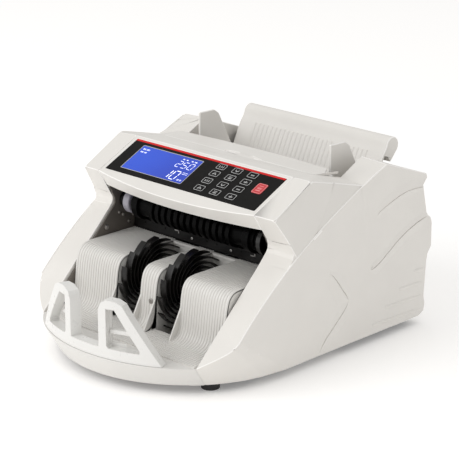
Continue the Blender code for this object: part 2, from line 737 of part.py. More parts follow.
# ---------------------------------------------------------------- moving inside
def make_impeller(name):
    """A hub with curved fingers; the fingers trail as the top turns forward."""
    hub_r, steps = 11.0, 8
    pitch = 2 * math.pi / FINGERS
    bm = bmesh.new()
    low, high = IMPELLER_X[name]

    def vert(radius, angle, x):
        y = STACKER_AXIS[0] + radius * math.cos(angle)
        z = STACKER_AXIS[1] + radius * math.sin(angle)
        return bm.verts.new((x, y, z))

    loops = {}
    for x in (low, high):
        loops[x] = []
        for k in range(FINGERS):
            base = k * pitch
            finger = [[], []]
            for i in range(steps + 1):
                u = i / steps
                radius = hub_r + (IMPELLER_R - hub_r) * u
                sweep = -FINGER_SWEEP * u ** 0.8
                thick = (1.5 - 0.4 * u) / radius / 2
                finger[0].append(vert(radius, base + sweep - thick, x))
                finger[1].append(vert(radius, base + sweep + thick, x))
            loops[x].append(finger)
    for k in range(FINGERS):
        nxt = (k + 1) % FINGERS
        for e in (0, 1):
            a, b = loops[low][k][e], loops[high][k][e]
            for i in range(steps):
                bm.faces.new((a[i], a[i + 1], b[i + 1], b[i]))
        a, b = loops[low], loops[high]
        bm.faces.new((a[k][0][-1], a[k][1][-1], b[k][1][-1], b[k][0][-1]))
        bm.faces.new((a[k][1][0], a[nxt][0][0], b[nxt][0][0], b[k][1][0]))
        for x in (low, high):
            left, right = loops[x][k]
            for i in range(steps):
                bm.faces.new((left[i], left[i + 1], right[i + 1], right[i]))
    for x in (low, high):
        ring = []
        for k in range(FINGERS):
            ring += [loops[x][k][0][0], loops[x][k][1][0]]
        bm.faces.new(ring)
    wheel = add_object(name, bm, "impeller", (low, *STACKER_AXIS))
    bore = circle(*STACKER_AXIS, SHAFT_R + GAP, 16)
    cut(wheel, prism(f"{name}_bore", bore, low - 5, high + 5, "X"))


def ring_profile(rings, core_r, end_x):
    """Turned profile: rubber rings (x centre, width, radius) on a core."""
    points = [(-end_x, core_r)]
    for centre, width, radius in rings:
        points += [(centre - width / 2, core_r), (centre - width / 2, radius)]
        points += [(centre + width / 2, radius), (centre + width / 2, core_r)]
    points.append((end_x, core_r))
    return points


def groove(track, radius, stub):
    """Profile of one flanged pulley groove, from high x to low x."""
    near, far = track + BELT_W / 2 + 0.6, track - BELT_W / 2 - 0.6
    rim = radius + 2.5
    return [(near + 0.8, stub), (near + 0.8, rim), (near, rim), (near, radius),
            (far, radius), (far, rim), (far - 0.8, rim), (far - 0.8, stub)]


def roller(name, axis, rings, core_r, half, pulley_r=None, segments=16):
    """A roller body turned onto its shaft stubs, all one piece."""
    body = ring_profile(rings, core_r, half)
    end = PLATE_X - 0.4
    pulley = groove(INNER_TRACK, pulley_r, SHAFT_R)[::-1] if pulley_r else []
    profile = [(-end, SHAFT_R), (-half, SHAFT_R), *body, (half, SHAFT_R), *pulley,
               (end, SHAFT_R)]
    return turned(name, profile, axis, "rubber", segments)


def make_rollers():
    pitch = 9.0
    group = [(pitch * i, 5.0, EXIT_R) for i in range(-6, 7)]
    exit_rings = [(-78.0, 8.0, EXIT_R), *group, (78.0, 8.0, EXIT_R)]
    roller("exit_roller", EXIT_AXIS, exit_rings, 12.0, 86.0, LINK_PULLEY_R[1], 14)
    roller("pinch_roller", PINCH_AXIS, [(-78.0, 10.0, PINCH_R), (-40.0, 10.0, PINCH_R),
                                        (0.0, 10.0, PINCH_R), (40.0, 10.0, PINCH_R),
                                        (78.0, 10.0, PINCH_R)], 6.0, 90.0)
    roller("feed_roller", FEED_AXIS, [(-46.0, 18.0, FEED_R), (0.0, 26.0, FEED_R),
                                      (46.0, 18.0, FEED_R)], 11.0, 86.0, LINK_PULLEY_R[0])
    roller("pickup_roller", PICKUP_AXIS, [(-20.0, 16.0, PICKUP_R), (20.0, 16.0, PICKUP_R)],
           8.0, 60.0)


def side_plate_outline():
    """(y, z) outline of the steel side frames, kept behind the arm's edge."""
    return [(-128.0, 36.5), (-39.0, 125.5), (-39.0, 131.0), (-46.0, 144.5), (-10.0, 158.0),
            (30.0, 168.0), (62.0, 168.0), (62.0, 139.0), (120.0, 143.0), (155.0, 143.0),
            (160.0, 100.0), (160.0, 11.2), (-79.0, 11.2), (-95.0, 22.0), (-99.0, 35.6),
            (-112.0, 35.6)]


def make_frame():
    shafts = (STACKER_AXIS, EXIT_AXIS, PINCH_AXIS, FEED_AXIS, PICKUP_AXIS, MOTOR_AXIS)
    for name, side in (("side_plate_right", 1), ("side_plate_left", -1)):
        low, high = span(side, PLATE_X, PLATE_X + PLATE_T)
        plate = prism(name, side_plate_outline(), low, high, "X", "steel")
        for i, axis in enumerate(shafts):
            hole = circle(*axis, SHAFT_R + 1.0, 12)
            cut(plate, prism(f"{name}_bore{i}", hole, low - 4, high + 4, "X"))
    bar = [(-13.2, 96.0), (-13.2, 106.3), (-5.0, 108.0), (-5.0, 96.0)]
    prism("sensor_bar", bar, -106.8, 106.8, "X", "black")
    box("retard_bracket", (-106.8, 36.0, 165.0), (106.8, 58.0, 167.0), "steel")
    box("retard_pad", (-14.0, 41.0, 151.6), (14.0, 55.0, 164.7), "rubber")
    for name, side in (("bearing_right", 1), ("bearing_left", -1)):
        x0 = PLATE_X - 7.0 if side > 0 else -PLATE_X + 0.4
        outline = circle(*EXIT_AXIS, 8.0, 20)
        ring = prism(name, outline, x0, x0 + 6.6, "X", "black")
        bore = circle(*EXIT_AXIS, SHAFT_R + GAP, 16)
        cut(ring, prism(f"{name}_bore", bore, x0 - 4, x0 + 12, "X"))


def belt_outline(a, ra, b, rb, segments=9):
    """Open belt round two pulleys: the hull of two circles, (y, z)."""
    dy, dz = b[0] - a[0], b[1] - a[1]
    span_len = math.hypot(dy, dz)
    heading = math.degrees(math.atan2(dz, dy))
    lean = math.degrees(math.acos((ra - rb) / span_len))
    left = arc(*b, rb, heading - lean, heading + lean, segments)
    right = arc(*a, ra, heading + lean, heading + 360.0 - lean, segments)
    return left + right


def make_belt(name, a, ra, b, rb, track):
    gap_a, gap_b = ra + GAP, rb + GAP
    low, high = track - BELT_W / 2, track + BELT_W / 2
    outline = belt_outline(a, gap_a + BELT_T, b, gap_b + BELT_T)
    belt = prism(name, outline, low, high, "X", "belt")
    hole = belt_outline(a, gap_a, b, gap_b)
    cut(belt, prism(f"{name}_inside", hole, low - 4, high + 4, "X"))


def make_pulley(name, axis, radius, tracks):
    """A flanged pulley, one groove per track, with its stub through the plate."""
    profile = [(-PLATE_X, SHAFT_R)]
    for track in tracks:
        profile += groove(track, radius, SHAFT_R)
    turned(name, profile, axis, "steel", 18, tracks[0])


def make_drive():
    near, far = TRACKS
    make_pulley("motor_pulley", MOTOR_AXIS, MOTOR_PULLEY_R, TRACKS)
    make_pulley("feed_pulley", FEED_AXIS, FEED_PULLEY_R, (far,))
    make_pulley("stacker_pulley", STACKER_AXIS, STACKER_PULLEY_R, (near,))
    make_belt("feed_belt", MOTOR_AXIS, MOTOR_PULLEY_R, FEED_AXIS, FEED_PULLEY_R, far)
    make_belt("stacker_belt", MOTOR_AXIS, MOTOR_PULLEY_R, STACKER_AXIS, STACKER_PULLEY_R, near)
    make_belt("exit_belt", FEED_AXIS, LINK_PULLEY_R[0], EXIT_AXIS, LINK_PULLEY_R[1],
              INNER_TRACK)
    turned("stacker_shaft", [(-PLATE_X + 0.4, SHAFT_R), (PLATE_X - 0.4, SHAFT_R)],
           STACKER_AXIS, "steel", 16)
    near_x, far_x = -PLATE_X + 0.5, -45.0
    can = [(near_x, 9.0), (near_x + 3.5, 9.0), (near_x + 3.5, MOTOR_R), (far_x, MOTOR_R),
           (far_x, 9.0), (far_x + 4.0, 9.0)]
    turned("motor", can, MOTOR_AXIS, "motor", 24)


def make_electrics():
    box("main_board", (-30.0, 10.0, 16.0), (60.0, 120.0, 17.6), "board")
    box("transformer", (66.0, 100.0, 11.2), (104.0, 150.0, 52.0), "iron")
    back, flange_t = BACK_Y, 2.3
    inlet = box("mains_inlet", (-97.0, back - 26.1, 31.0), (-69.0, back + 0.4, 53.0), "black")
    fuse(inlet, box("inlet_flange", (-100.0, back, 28.0), (-66.0, back + flange_t, 56.0)))
    pocket = rounded_rect(-83.0, 42.0, 24.0, 16.5, 3.0)
    cut(inlet, prism("inlet_pocket", pocket, back - 14.1, back + 9.0, "Y"))
    for i, (x, z) in enumerate(((-90.0, 40.5), (-83.0, 44.5), (-76.0, 40.5))):
        low, high = (x - 1.0, back - 16.1, z - 2.0), (x + 1.0, back - 2.1, z + 2.0)
        fuse(inlet, box(f"inlet_pin{i}", low, high))
    case = box("switch_case", (-57.0, back - 24.1, 33.0), (-37.0, back + 0.4, 47.0), "black")
    fuse(case, box("switch_rim", (-58.5, back, 31.5), (-35.5, back + 1.5, 48.5)))
    cut(case, box("switch_well", (-55.7, back - 13.1, 35.0), (-38.3, back + 9.0, 45.0)))
    rocker = [(-41.5, -4.0), (-52.5, -4.0), (-54.0, 2.0), (-54.0, 6.6), (-47.0, 4.8),
              (-40.0, 4.4), (-40.0, 2.0)]
    pivot = (-47.0, back - 2.0, 40.0)
    rocker = [(x, y + back - 4.0) for x, y in rocker]
    prism("power_switch", rocker, 35.6, 44.4, "Z", "black", pivot)
    knob = turned_y("gap_knob", KNOB_AXIS, [(167.2, 9.0), (174.2, 9.0), (175.6, 7.5)])
    fuse(knob, turned_y("knob_stem", KNOB_AXIS, [(144.0, 2.8), (170.0, 2.8)]))


def turned_y(name, axis, profile, finish="black", segments=18):
    """A body of revolution about the Y-parallel line through axis = (x, z)."""
    bm = bmesh.new()
    rings = []
    for y, radius in profile:
        rings.append([bm.verts.new((x, y, z)) for x, z in circle(*axis, radius, segments)])
    for a, b in zip(rings, rings[1:]):
        for i in range(segments):
            j = (i + 1) % segments
            bm.faces.new((a[i], a[j], b[j], b[i]))
    bm.faces.new(rings[0])
    bm.faces.new(rings[-1])
    return smooth(add_object(name, bm, finish, (axis[0], profile[0][0], axis[1])))


def make_feet():
    places = {"foot_front_right": (96.0, -106.0), "foot_front_left": (-96.0, -106.0),
              "foot_rear_right": (108.0, 140.0), "foot_rear_left": (-108.0, 140.0)}
    for name, (x, y) in places.items():
        prism(name, circle(x, y, 9.3, 20), 0.0, FLOOR_Z - 0.1, "Z", "rubber")


FINISHES = {
    "housing": lambda: material("housing_plastic", (0.80, 0.78, 0.75), 0.42),
    "bed": lambda: material("bed_plastic", (0.74, 0.73, 0.72), 0.35),
    "stop": lambda: material("stop_plastic", (0.90, 0.89, 0.87), 0.35),
    "overlay": lambda: material("overlay_film", (0.015, 0.014, 0.016), 0.30),
    "lens": lambda: material("lcd_lens", (0.02, 0.06, 0.70), 0.12),
    "lcd": lambda: material("lcd_glass", (0.05, 0.12, 0.80), 0.25),
    "key": lambda: material("key_film", (0.02, 0.02, 0.022), 0.35),
    "start_key": lambda: material("start_key_film", (0.55, 0.04, 0.05), 0.35),
    "board": lambda: material("circuit_board", (0.02, 0.18, 0.06), 0.45),
    "rubber": lambda: material("black_rubber", (0.012, 0.012, 0.013), 0.55),
    "impeller": lambda: material("impeller_rubber", (0.010, 0.010, 0.011), 0.28),
    "black": lambda: material("black_plastic", (0.014, 0.014, 0.015), 0.40),
    "belt": lambda: material("belt_rubber", (0.02, 0.02, 0.02), 0.60),
    "steel": lambda: material("side_steel", (0.36, 0.34, 0.32), 0.38, 1.0),
    "motor": lambda: material("motor_can", (0.50, 0.50, 0.52), 0.32, 1.0),
    "iron": lambda: material("transformer_iron", (0.20, 0.20, 0.22), 0.50, 1.0),
}


def main():
    clear_scene()
    make_side_cover("side_cover_right", 1)
    make_side_cover("side_cover_left", -1)
    make_head_cover()
    make_panel()
    make_flap()
    make_tray()
    make_guides()
    make_rear_cover()
    make_base_pan()
    make_bed()
    make_stop()
    for name in IMPELLER_X:
        make_impeller(name)
    make_rollers()
    make_frame()
    make_drive()
    make_electrics()
    make_feet()


main()
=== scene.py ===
"""Looks of the banknote counting machine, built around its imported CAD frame.

Positions are written in millimetres in the CAD drawing's own numbers; at() turns
them into the shared frame, which is in metres and lies CENTRE_Y further back.
"""

import json
import math

import bmesh
import bpy
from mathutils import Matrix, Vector
from mathutils.bvhtree import BVHTree
from mathutils.kdtree import KDTree

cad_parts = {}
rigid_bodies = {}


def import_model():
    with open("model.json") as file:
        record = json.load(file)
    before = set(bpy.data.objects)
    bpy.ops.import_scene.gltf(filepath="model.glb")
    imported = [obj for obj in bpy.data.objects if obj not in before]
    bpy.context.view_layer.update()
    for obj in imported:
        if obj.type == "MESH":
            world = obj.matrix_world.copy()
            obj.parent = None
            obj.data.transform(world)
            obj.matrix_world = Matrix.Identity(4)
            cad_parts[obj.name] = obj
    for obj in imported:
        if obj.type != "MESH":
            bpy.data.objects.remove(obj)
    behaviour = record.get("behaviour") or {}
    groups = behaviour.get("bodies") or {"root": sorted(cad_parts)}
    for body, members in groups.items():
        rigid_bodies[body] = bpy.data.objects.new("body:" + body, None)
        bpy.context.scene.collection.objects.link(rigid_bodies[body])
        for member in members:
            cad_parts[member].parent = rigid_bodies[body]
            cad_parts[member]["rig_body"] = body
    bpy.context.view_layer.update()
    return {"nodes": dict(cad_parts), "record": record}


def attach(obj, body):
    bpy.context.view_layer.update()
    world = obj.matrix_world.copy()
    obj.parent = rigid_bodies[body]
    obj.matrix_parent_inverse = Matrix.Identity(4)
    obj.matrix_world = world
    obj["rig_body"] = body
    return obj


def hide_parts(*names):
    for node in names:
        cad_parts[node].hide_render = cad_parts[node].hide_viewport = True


for leftover in list(bpy.data.objects):
    bpy.data.objects.remove(leftover, do_unlink=True)
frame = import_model()

MM = 0.001
CENTRE_Y = 2.4
CAMERA = Vector((1.3072, -1.3289, 0.7229))
AZIMUTH, ELEVATION = math.radians(44.06), math.radians(18.12)
SENSOR = 36.0                         # mm, the camera's sensor width
LENS = 1942.0 * SENSOR / 459.0        # mm, a long lens
CLOUD_LOW, CLOUD_HIGH = 0.3, 0.7      # part of the noise range that shows
WELD, CAD_WELD = 1e-7, 2e-6           # m, points closer than this are one
LEFT_SHARP = 0.05                     # edges weighing no more than this stay sharp


def at(x, y, z):
    """A point of the drawing (mm) in the shared frame (m)."""
    return Vector((x * MM, (y + CENTRE_Y) * MM, z * MM))


def srgb(r, g, b):
    """Screen colour 0-255 to the linear values a shader takes."""
    out = []
    for c in (r, g, b):
        c /= 255.0
        out.append(c / 12.92 if c <= 0.04045 else ((c + 0.055) / 1.055) ** 2.4)
    return (*out, 1.0)


# ------------------------------------------------------------------ materials
def shader_of(name, **sockets):
    """New material with these inputs of its Principled shader set."""
    mat = bpy.data.materials.new(name)
    mat.use_nodes = True
    shader = mat.node_tree.nodes["Principled BSDF"]
    for key, value in sockets.items():
        shader.inputs[key.replace("_", " ")].default_value = value
    return mat, mat.node_tree, shader


def noise(tree, scale, detail, stretch=None):
    """Noise in the object's own metres; stretch draws it out along an axis."""
    coord = tree.nodes.new("ShaderNodeTexCoord")
    node = tree.nodes.new("ShaderNodeTexNoise")
    node.inputs["Scale"].default_value = scale
    node.inputs["Detail"].default_value = detail
    if stretch:
        mapping = tree.nodes.new("ShaderNodeMapping")
        mapping.inputs["Scale"].default_value = stretch
        tree.links.new(coord.outputs["Object"], mapping.inputs["Vector"])
        tree.links.new(mapping.outputs["Vector"], node.inputs["Vector"])
    else:
        tree.links.new(coord.outputs["Object"], node.inputs["Vector"])
    return node.outputs["Fac"]


def ramp(tree, fac, low, high):
    """Colour that runs from low to high with the noise."""
    node = tree.nodes.new("ShaderNodeValToRGB")
    first, last = node.color_ramp.elements
    first.position, last.position = CLOUD_LOW, CLOUD_HIGH
    first.color, last.color = low, high
    tree.links.new(fac, node.inputs["Fac"])
    return node.outputs["Color"]


def spread(tree, fac, low, high):
    """Value that runs from low to high with the noise."""
    node = tree.nodes.new("ShaderNodeMapRange")
    for key, value in (("From Min", CLOUD_LOW), ("From Max", CLOUD_HIGH), ("To Min", low),
                       ("To Max", high)):
        node.inputs[key].default_value = value
    tree.links.new(fac, node.inputs["Value"])
    return node.outputs["Result"]


def finish(name, colour, rough, tint=0.035, cloud=22.0, grain=1400.0, bump=0.12,
           depth=0.00006, stretch=None, **sockets):
    """Moulded or rolled surface: cloudy tint, uneven gloss and a fine grain."""
    mat, tree, shader = shader_of(name, **sockets)
    dark = tuple(c * (1 - tint) for c in colour[:3]) + (1.0,)
    light = tuple(min(1.0, c * (1 + tint)) for c in colour[:3]) + (1.0,)
    tint_fac = noise(tree, cloud, 3.0)
    tree.links.new(ramp(tree, tint_fac, dark, light), shader.inputs["Base Color"])
    gloss_fac = noise(tree, cloud * 9, 4.0, stretch)
    tree.links.new(spread(tree, gloss_fac, rough * 0.88, rough * 1.12),
                   shader.inputs["Roughness"])
    relief = tree.nodes.new("ShaderNodeBump")
    relief.inputs["Strength"].default_value = bump
    relief.inputs["Distance"].default_value = depth
    tree.links.new(noise(tree, grain, 3.0, stretch), relief.inputs["Height"])
    tree.links.new(relief.outputs["Normal"], shader.inputs["Normal"])
    return mat


BODY = srgb(226, 223, 218)
M = {
    "housing": finish("off_white_abs", BODY, 0.44, 0.018, bump=0.16),
    # painted highlight: lighter colour for the rounded edges of housing pieces and the ridge
    # bead, standing in for the bright lines light makes along edges
    "edge": finish("edge_painted_highlight", srgb(245, 243, 240), 0.30, 0.01, bump=0.04),
    "bed": finish("bed_abs", srgb(220, 218, 214), 0.36, 0.02, bump=0.10),
    "stop": finish("white_abs", srgb(226, 225, 222), 0.30, 0.015, bump=0.06),
    "overlay": finish("black_film", srgb(18, 17, 16), 0.50, 0.10, grain=2600.0, bump=0.10,
                      Specular_IOR_Level=0.10),
    "stripe": finish("red_film", srgb(206, 22, 20), 0.42, 0.05, grain=2600.0, bump=0.08,
                     Specular_IOR_Level=0.25),
    "key": finish("key_film", srgb(16, 15, 15), 0.50, 0.10, grain=2600.0, bump=0.10,
                  Specular_IOR_Level=0.10),
    "start": finish("start_film", srgb(196, 52, 58), 0.40, 0.05, grain=2600.0, bump=0.10),
    "ink": finish("silver_ink", srgb(186, 186, 186), 0.45, 0.05, grain=3000.0),
    "pink_ink": finish("pink_ink", srgb(236, 150, 150), 0.45, 0.05, grain=3000.0),
    "board": finish("green_board", srgb(20, 84, 44), 0.45, 0.12, cloud=160.0, bump=0.2),
    "impeller": finish("gloss_rubber", srgb(17, 15, 14), 0.30, 0.15, bump=0.05,
                       Specular_IOR_Level=0.32),
    "rubber": finish("matt_rubber", srgb(24, 23, 22), 0.48, 0.12, bump=0.25, grain=1800.0),
    # black rubber of the rollers, made darker than the other rubber as painted shade for the
    # dim space under the head
    "roller": finish("roller_rubber_painted_shade", srgb(5, 5, 5), 0.5, 0.12, bump=0.2, grain=1800.0,
                     Specular_IOR_Level=0.06),
    "black": finish("black_plastic", srgb(18, 17, 17), 0.42, 0.10, bump=0.2,
                    Specular_IOR_Level=0.3),
    "steel": finish("turned_steel", srgb(176, 172, 168), 0.32, 0.06, Metallic=1.0,
                    stretch=(30.0, 1.0, 1.0), grain=300.0),
    "plate": finish("sheet_steel", srgb(118, 112, 106), 0.42, 0.06, Metallic=0.55,
                    stretch=(1.0, 1.0, 14.0), grain=380.0, bump=0.08),
    "nylon": finish("grey_nylon", srgb(150, 148, 156), 0.4, 0.04, bump=0.1),
    "motor": finish("zinc_can", srgb(170, 170, 172), 0.38, 0.07, Metallic=0.9, grain=600.0),
    "iron": finish("varnished_iron", srgb(84, 82, 86), 0.45, 0.12, Metallic=0.5,
                   stretch=(1.0, 60.0, 1.0), grain=60.0, bump=0.5, depth=0.0003),
    "bracket": finish("zinc_sheet", srgb(190, 188, 186), 0.36, 0.05, Metallic=0.85,
                      grain=500.0),
}


def lcd_glass():
    """Backlit blue display with a blotchy, uneven brightness, under a clear hard coat."""
    mat, tree, shader = shader_of("lcd_glass", Roughness=0.22, Coat_Weight=0.25,
                                  Coat_Roughness=0.05, Emission_Strength=0.172)
    blue = ramp(tree, noise(tree, 9.0, 1.0), srgb(6, 52, 176), srgb(16, 74, 204))
    tree.links.new(blue, shader.inputs["Base Color"])
    tree.links.new(blue, shader.inputs["Emission Color"])
    return mat


def lcd_digits():
    """Lit white segments of the display."""
    mat, tree, shader = shader_of("lcd_segments", Roughness=0.3, Emission_Strength=0.9)
    white = ramp(tree, noise(tree, 60.0, 1.0), srgb(220, 228, 255), srgb(250, 250, 255))
    tree.links.new(white, shader.inputs["Base Color"])
    tree.links.new(white, shader.inputs["Emission Color"])
    return mat


M["lens"] = lcd_glass()
M["digits"] = lcd_digits()


# ------------------------------------------------------------- making pieces
def solid(bm):
    """Weld a bmesh and turn its faces outwards."""
    bmesh.ops.remove_doubles(bm, verts=bm.verts, dist=WELD)
    bmesh.ops.recalc_face_normals(bm, faces=bm.faces)
    return bm


def shape(name, bm, mat):
    """A bmesh in the shared frame becomes an object that nothing carries yet."""
    mesh = bpy.data.meshes.new(name)
    solid(bm).to_mesh(mesh)
    bm.free()
    for face in mesh.polygons:
        face.use_smooth = True
    mesh.materials.append(mat)
    obj = bpy.data.objects.new(name, mesh)
    bpy.context.scene.collection.objects.link(obj)
    return obj


def soften(obj, width, segments=3, angle=28.0):
    """Rounded edges with shading that keeps broad faces flat; on housing pieces the rounded
    edges take the lighter edge colour, a painted highlight.
    """
    if width:
        edge = round_edges(obj, width, segments, angle)
        # painted highlight: the bevel faces of housing pieces get the lighter edge colour
        if obj.data.materials[0] == M["housing"]:
            obj.data.materials.append(M["edge"])
            edge.material = 1
    else:
        for index in turning_edges(obj.data, math.radians(angle), math.pi):
            obj.data.edges[index].use_edge_sharp = True
    flat = obj.modifiers.new("flat_faces", "WEIGHTED_NORMAL")
    flat.keep_sharp = True
    return obj


def round_edges(obj, width, segments, low, high=181.0):
    """Bevel the edges that turn by low to high degrees."""
    edge = obj.modifiers.new("edges", "BEVEL")
    edge.width, edge.segments = width * MM, segments
    edge.limit_method, edge.use_clamp_overlap = "WEIGHT", False
    weigh_edges(obj, width * MM, math.radians(low), math.radians(high))
    return edge


def turning_edges(mesh, low, high):
    """Indices of the edges whose two faces turn by an angle in the range."""
    bm = bmesh.new()
    bm.from_mesh(mesh)
    found = [e.index for e in bm.edges
             if len(e.link_faces) == 2 and low < e.calc_face_angle() < high]
    bm.free()
    return found


def corners_of(mesh, edges):
    """The edges around each corner of these edges, and a lookup of the corners."""
    around = {}
    for index in edges:
        for vert in mesh.edges[index].vertices:
            around.setdefault(vert, []).append(index)
    corners = KDTree(max(1, len(around)))
    for vert in around:
        corners.insert(mesh.vertices[vert].co, vert)
    corners.balance()
    return around, corners


def faults(shaped, surface, limit, near):
    """Spots where the rounding leaves the surface or turns a face against it."""
    bad = [v.co for v in shaped.vertices if surface.find_nearest(v.co)[3] > limit]
    for face in shaped.polygons:
        _, normal, _, away = surface.find_nearest(face.center)
        if face.area > 1e-9 and away < near and face.normal.dot(normal) < 0.3:
            bad.append(face.center)
    return bad


def weigh_edges(obj, width, low, high):
    """Give each of those edges the widest rounding that folds or spikes nowhere."""
    mesh = obj.data
    weights = dict.fromkeys(turning_edges(mesh, low, high), 1.0)
    around, corners = corners_of(mesh, weights)
    surface = BVHTree.FromPolygons([v.co for v in mesh.vertices],
                                   [f.vertices for f in mesh.polygons])
    layer = mesh.attributes.get("bevel_weight_edge")
    layer = layer or mesh.attributes.new("bevel_weight_edge", "FLOAT", "EDGE")
    layer.data.foreach_set("value", [0.0] * len(mesh.edges))
    limit = width * (0.45 if high > math.pi / 2 else 0.15)
    for _ in range(9):
        for index, weight in weights.items():
            layer.data[index].value = weight if weight > LEFT_SHARP else 0.0
        graph = bpy.context.evaluated_depsgraph_get()
        graph.update()
        shaped = obj.evaluated_get(graph).data
        bad = faults(shaped, surface, limit, width * 0.02)
        if not bad:
            break
        for vert in {corners.find(Vector(spot))[1] for spot in bad}:
            for index in around[vert]:
                weights[index] *= 0.5
    for index, weight in weights.items():
        mesh.edges[index].use_edge_sharp = weight <= LEFT_SHARP


def mount(obj, body, slot, *nodes):
    """Let a body carry obj, standing for the nodes named; the slot is not used."""
    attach(obj, body)
    if nodes:
        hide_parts(*nodes)
    return obj


def cad_copy(node, angle=0.6):
    """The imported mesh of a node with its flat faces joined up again."""
    bm = bmesh.new()
    bm.from_mesh(frame["nodes"][node].data)
    bmesh.ops.remove_doubles(bm, verts=bm.verts, dist=CAD_WELD)
    if angle:
        bmesh.ops.dissolve_limit(bm, angle_limit=math.radians(angle), verts=bm.verts,
                                 edges=bm.edges, use_dissolve_boundaries=False)
    return bm


def slot_of(node):
    """The material slot the record gives a node."""
    for row in frame["record"]["subparts"]:
        if row["node"] == node:
            return row["material_slot"]
    return "housing"


def body_of(node):
    """The moving body a node belongs to."""
    return frame["nodes"][node]["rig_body"]


def refined(node, mat, width, segments=3, angle=28.0, carve=(), join=0.6):
    """A softened copy of a node that stands for it, with shapes carved out first."""
    obj = shape(f"{node}_moulded", cad_copy(node, join), mat)
    for cutter in carve:
        carve_out(obj, cutter)
    soften(obj, width, segments, angle)
    return mount(obj, body_of(node), slot_of(node), node)


def settle(obj):
    """Keep what the modifiers make as obj's own mesh."""
    graph = bpy.context.evaluated_depsgraph_get()
    mesh = bpy.data.meshes.new_from_object(obj.evaluated_get(graph))
    obj.modifiers.clear()
    old, obj.data = obj.data, mesh
    bpy.data.meshes.remove(old)


def carve_out(obj, cutter):
    """Cut a scratch object out of obj and remove the scratch object."""
    mod = obj.modifiers.new("cut", "BOOLEAN")
    mod.object, mod.operation, mod.solver = cutter, "DIFFERENCE", "EXACT"
    settle(obj)
    scratch = cutter.data
    bpy.data.objects.remove(cutter)
    bpy.data.meshes.remove(scratch)


def tube(bm, rings, closed=False, creased=False):
    """Skin a list of equal rings of points; ends are capped unless closed.

    Creased keeps the edges that run from ring to ring sharp."""
    loops = [[bm.verts.new(p) for p in ring] for ring in rings]
    count = len(loops[0])
    pairs = list(zip(loops, loops[1:])) + ([(loops[-1], loops[0])] if closed else [])
    for a, b in pairs:
        for i in range(count):
            j = (i + 1) % count
            bm.faces.new((a[i], a[j], b[j], b[i]))
        if creased:
            for i in range(count):
                bm.edges.get((a[i], b[i])).smooth = False
    if not closed:
        bm.faces.new(loops[0])
        bm.faces.new(reversed(loops[-1]))


def prism(bm, outline, low, high):
    """Extrude a (y, z) outline along x from low to high, all in mm."""
    tube(bm, [[at(x, y, z) for y, z in outline] for x in (low, high)])


def curve_through(points, steps):
    """Catmull-Rom curve through tuples of any size."""
    pts = [Vector(p) for p in points]
    pts = [2 * pts[0] - pts[1], *pts, 2 * pts[-1] - pts[-2]]
    out = []
    for a, b, c, d in zip(pts, pts[1:], pts[2:], pts[3:]):
        for i in range(steps):
            t = i / steps
            out.append(0.5 * ((2 * b) + (c - a) * t + (2 * a - 5 * b + 4 * c - d) * t * t
                              + (3 * b - a - 3 * c + d) * t ** 3))
    out.append(pts[-2])
    return out


def ribbed(bm, profile, low, high, pitch, height, crest=0.45, skin=1.6):
    """Closed sheet along a (y, z) profile with ribs that run along the profile.

    Its outer side is on the right of the profile's direction of travel."""
    normals = []
    for i, p in enumerate(profile):
        a, b = profile[max(i - 1, 0)], profile[min(i + 1, len(profile) - 1)]
        along = (b - a).normalized()
        normals.append(Vector((along.y, -along.x)))
    count = max(1, round((high - low) / pitch))
    step = (high - low) / count
    lifts = []
    for k in range(count):
        x0 = low + k * step
        lifts += [(x0, 0.0), (x0 + step * 0.22, 0.0), (x0 + step * 0.36, height),
                  (x0 + step * (0.36 + crest), height)]
    lifts.append((high, 0.0))
    rows = []
    for p, n in zip(profile, normals):
        ring = [at(x, *(p + n * lift)) for x, lift in lifts]
        ring += [at(x, *(p - n * skin)) for x in (high, low)]
        rows.append(ring)
    tube(bm, rows, creased=True)


# ------------------------------------------------------------ stacker and bed
SEAM_X, FLOOR_Z, LIP_Z, TOE_X = 109.3, 9.0, 31.7, 104.5
BED_X, BED_TOP, BED_REAR = 106.9, 94.6, -13.6
SLOT = (11.0, 45.0)                   # x of the wheel slots, mirrored on the left
RIB_PITCH, RIB_HEIGHT = 3.4, 0.8      # of the bed's fine ribs
WALL = 2.0                            # of the walls beside the slots
BED_CURVE = [(-76.0, 94.6), (-84.5, 93.3), (-90.5, 88.6), (-93.8, 80.0), (-96.0, 65.0),
             (-98.5, 47.5), (-103.0, 38.8), (-111.5, 34.6)]
STACKER = (-52.5, 62.5)               # (y, z) of the finger wheels' shaft


def lip_y(x):
    """Front of the stacker's lip at its top, an arc seen from above."""
    return -66.0 - 117.0 * math.sqrt(1 - (x / 140.0) ** 2)


def base_y(x):
    """Front of the stacker's lip at its foot."""
    return -39.5 - math.sqrt(132.5 ** 2 - x * x)


def bed_profile():
    """Bed surface from the rear edge over the top and down to its foot."""
    curve = curve_through(BED_CURVE, 6)
    return [Vector((BED_REAR, BED_TOP)), Vector((-45.0, BED_TOP))] + curve


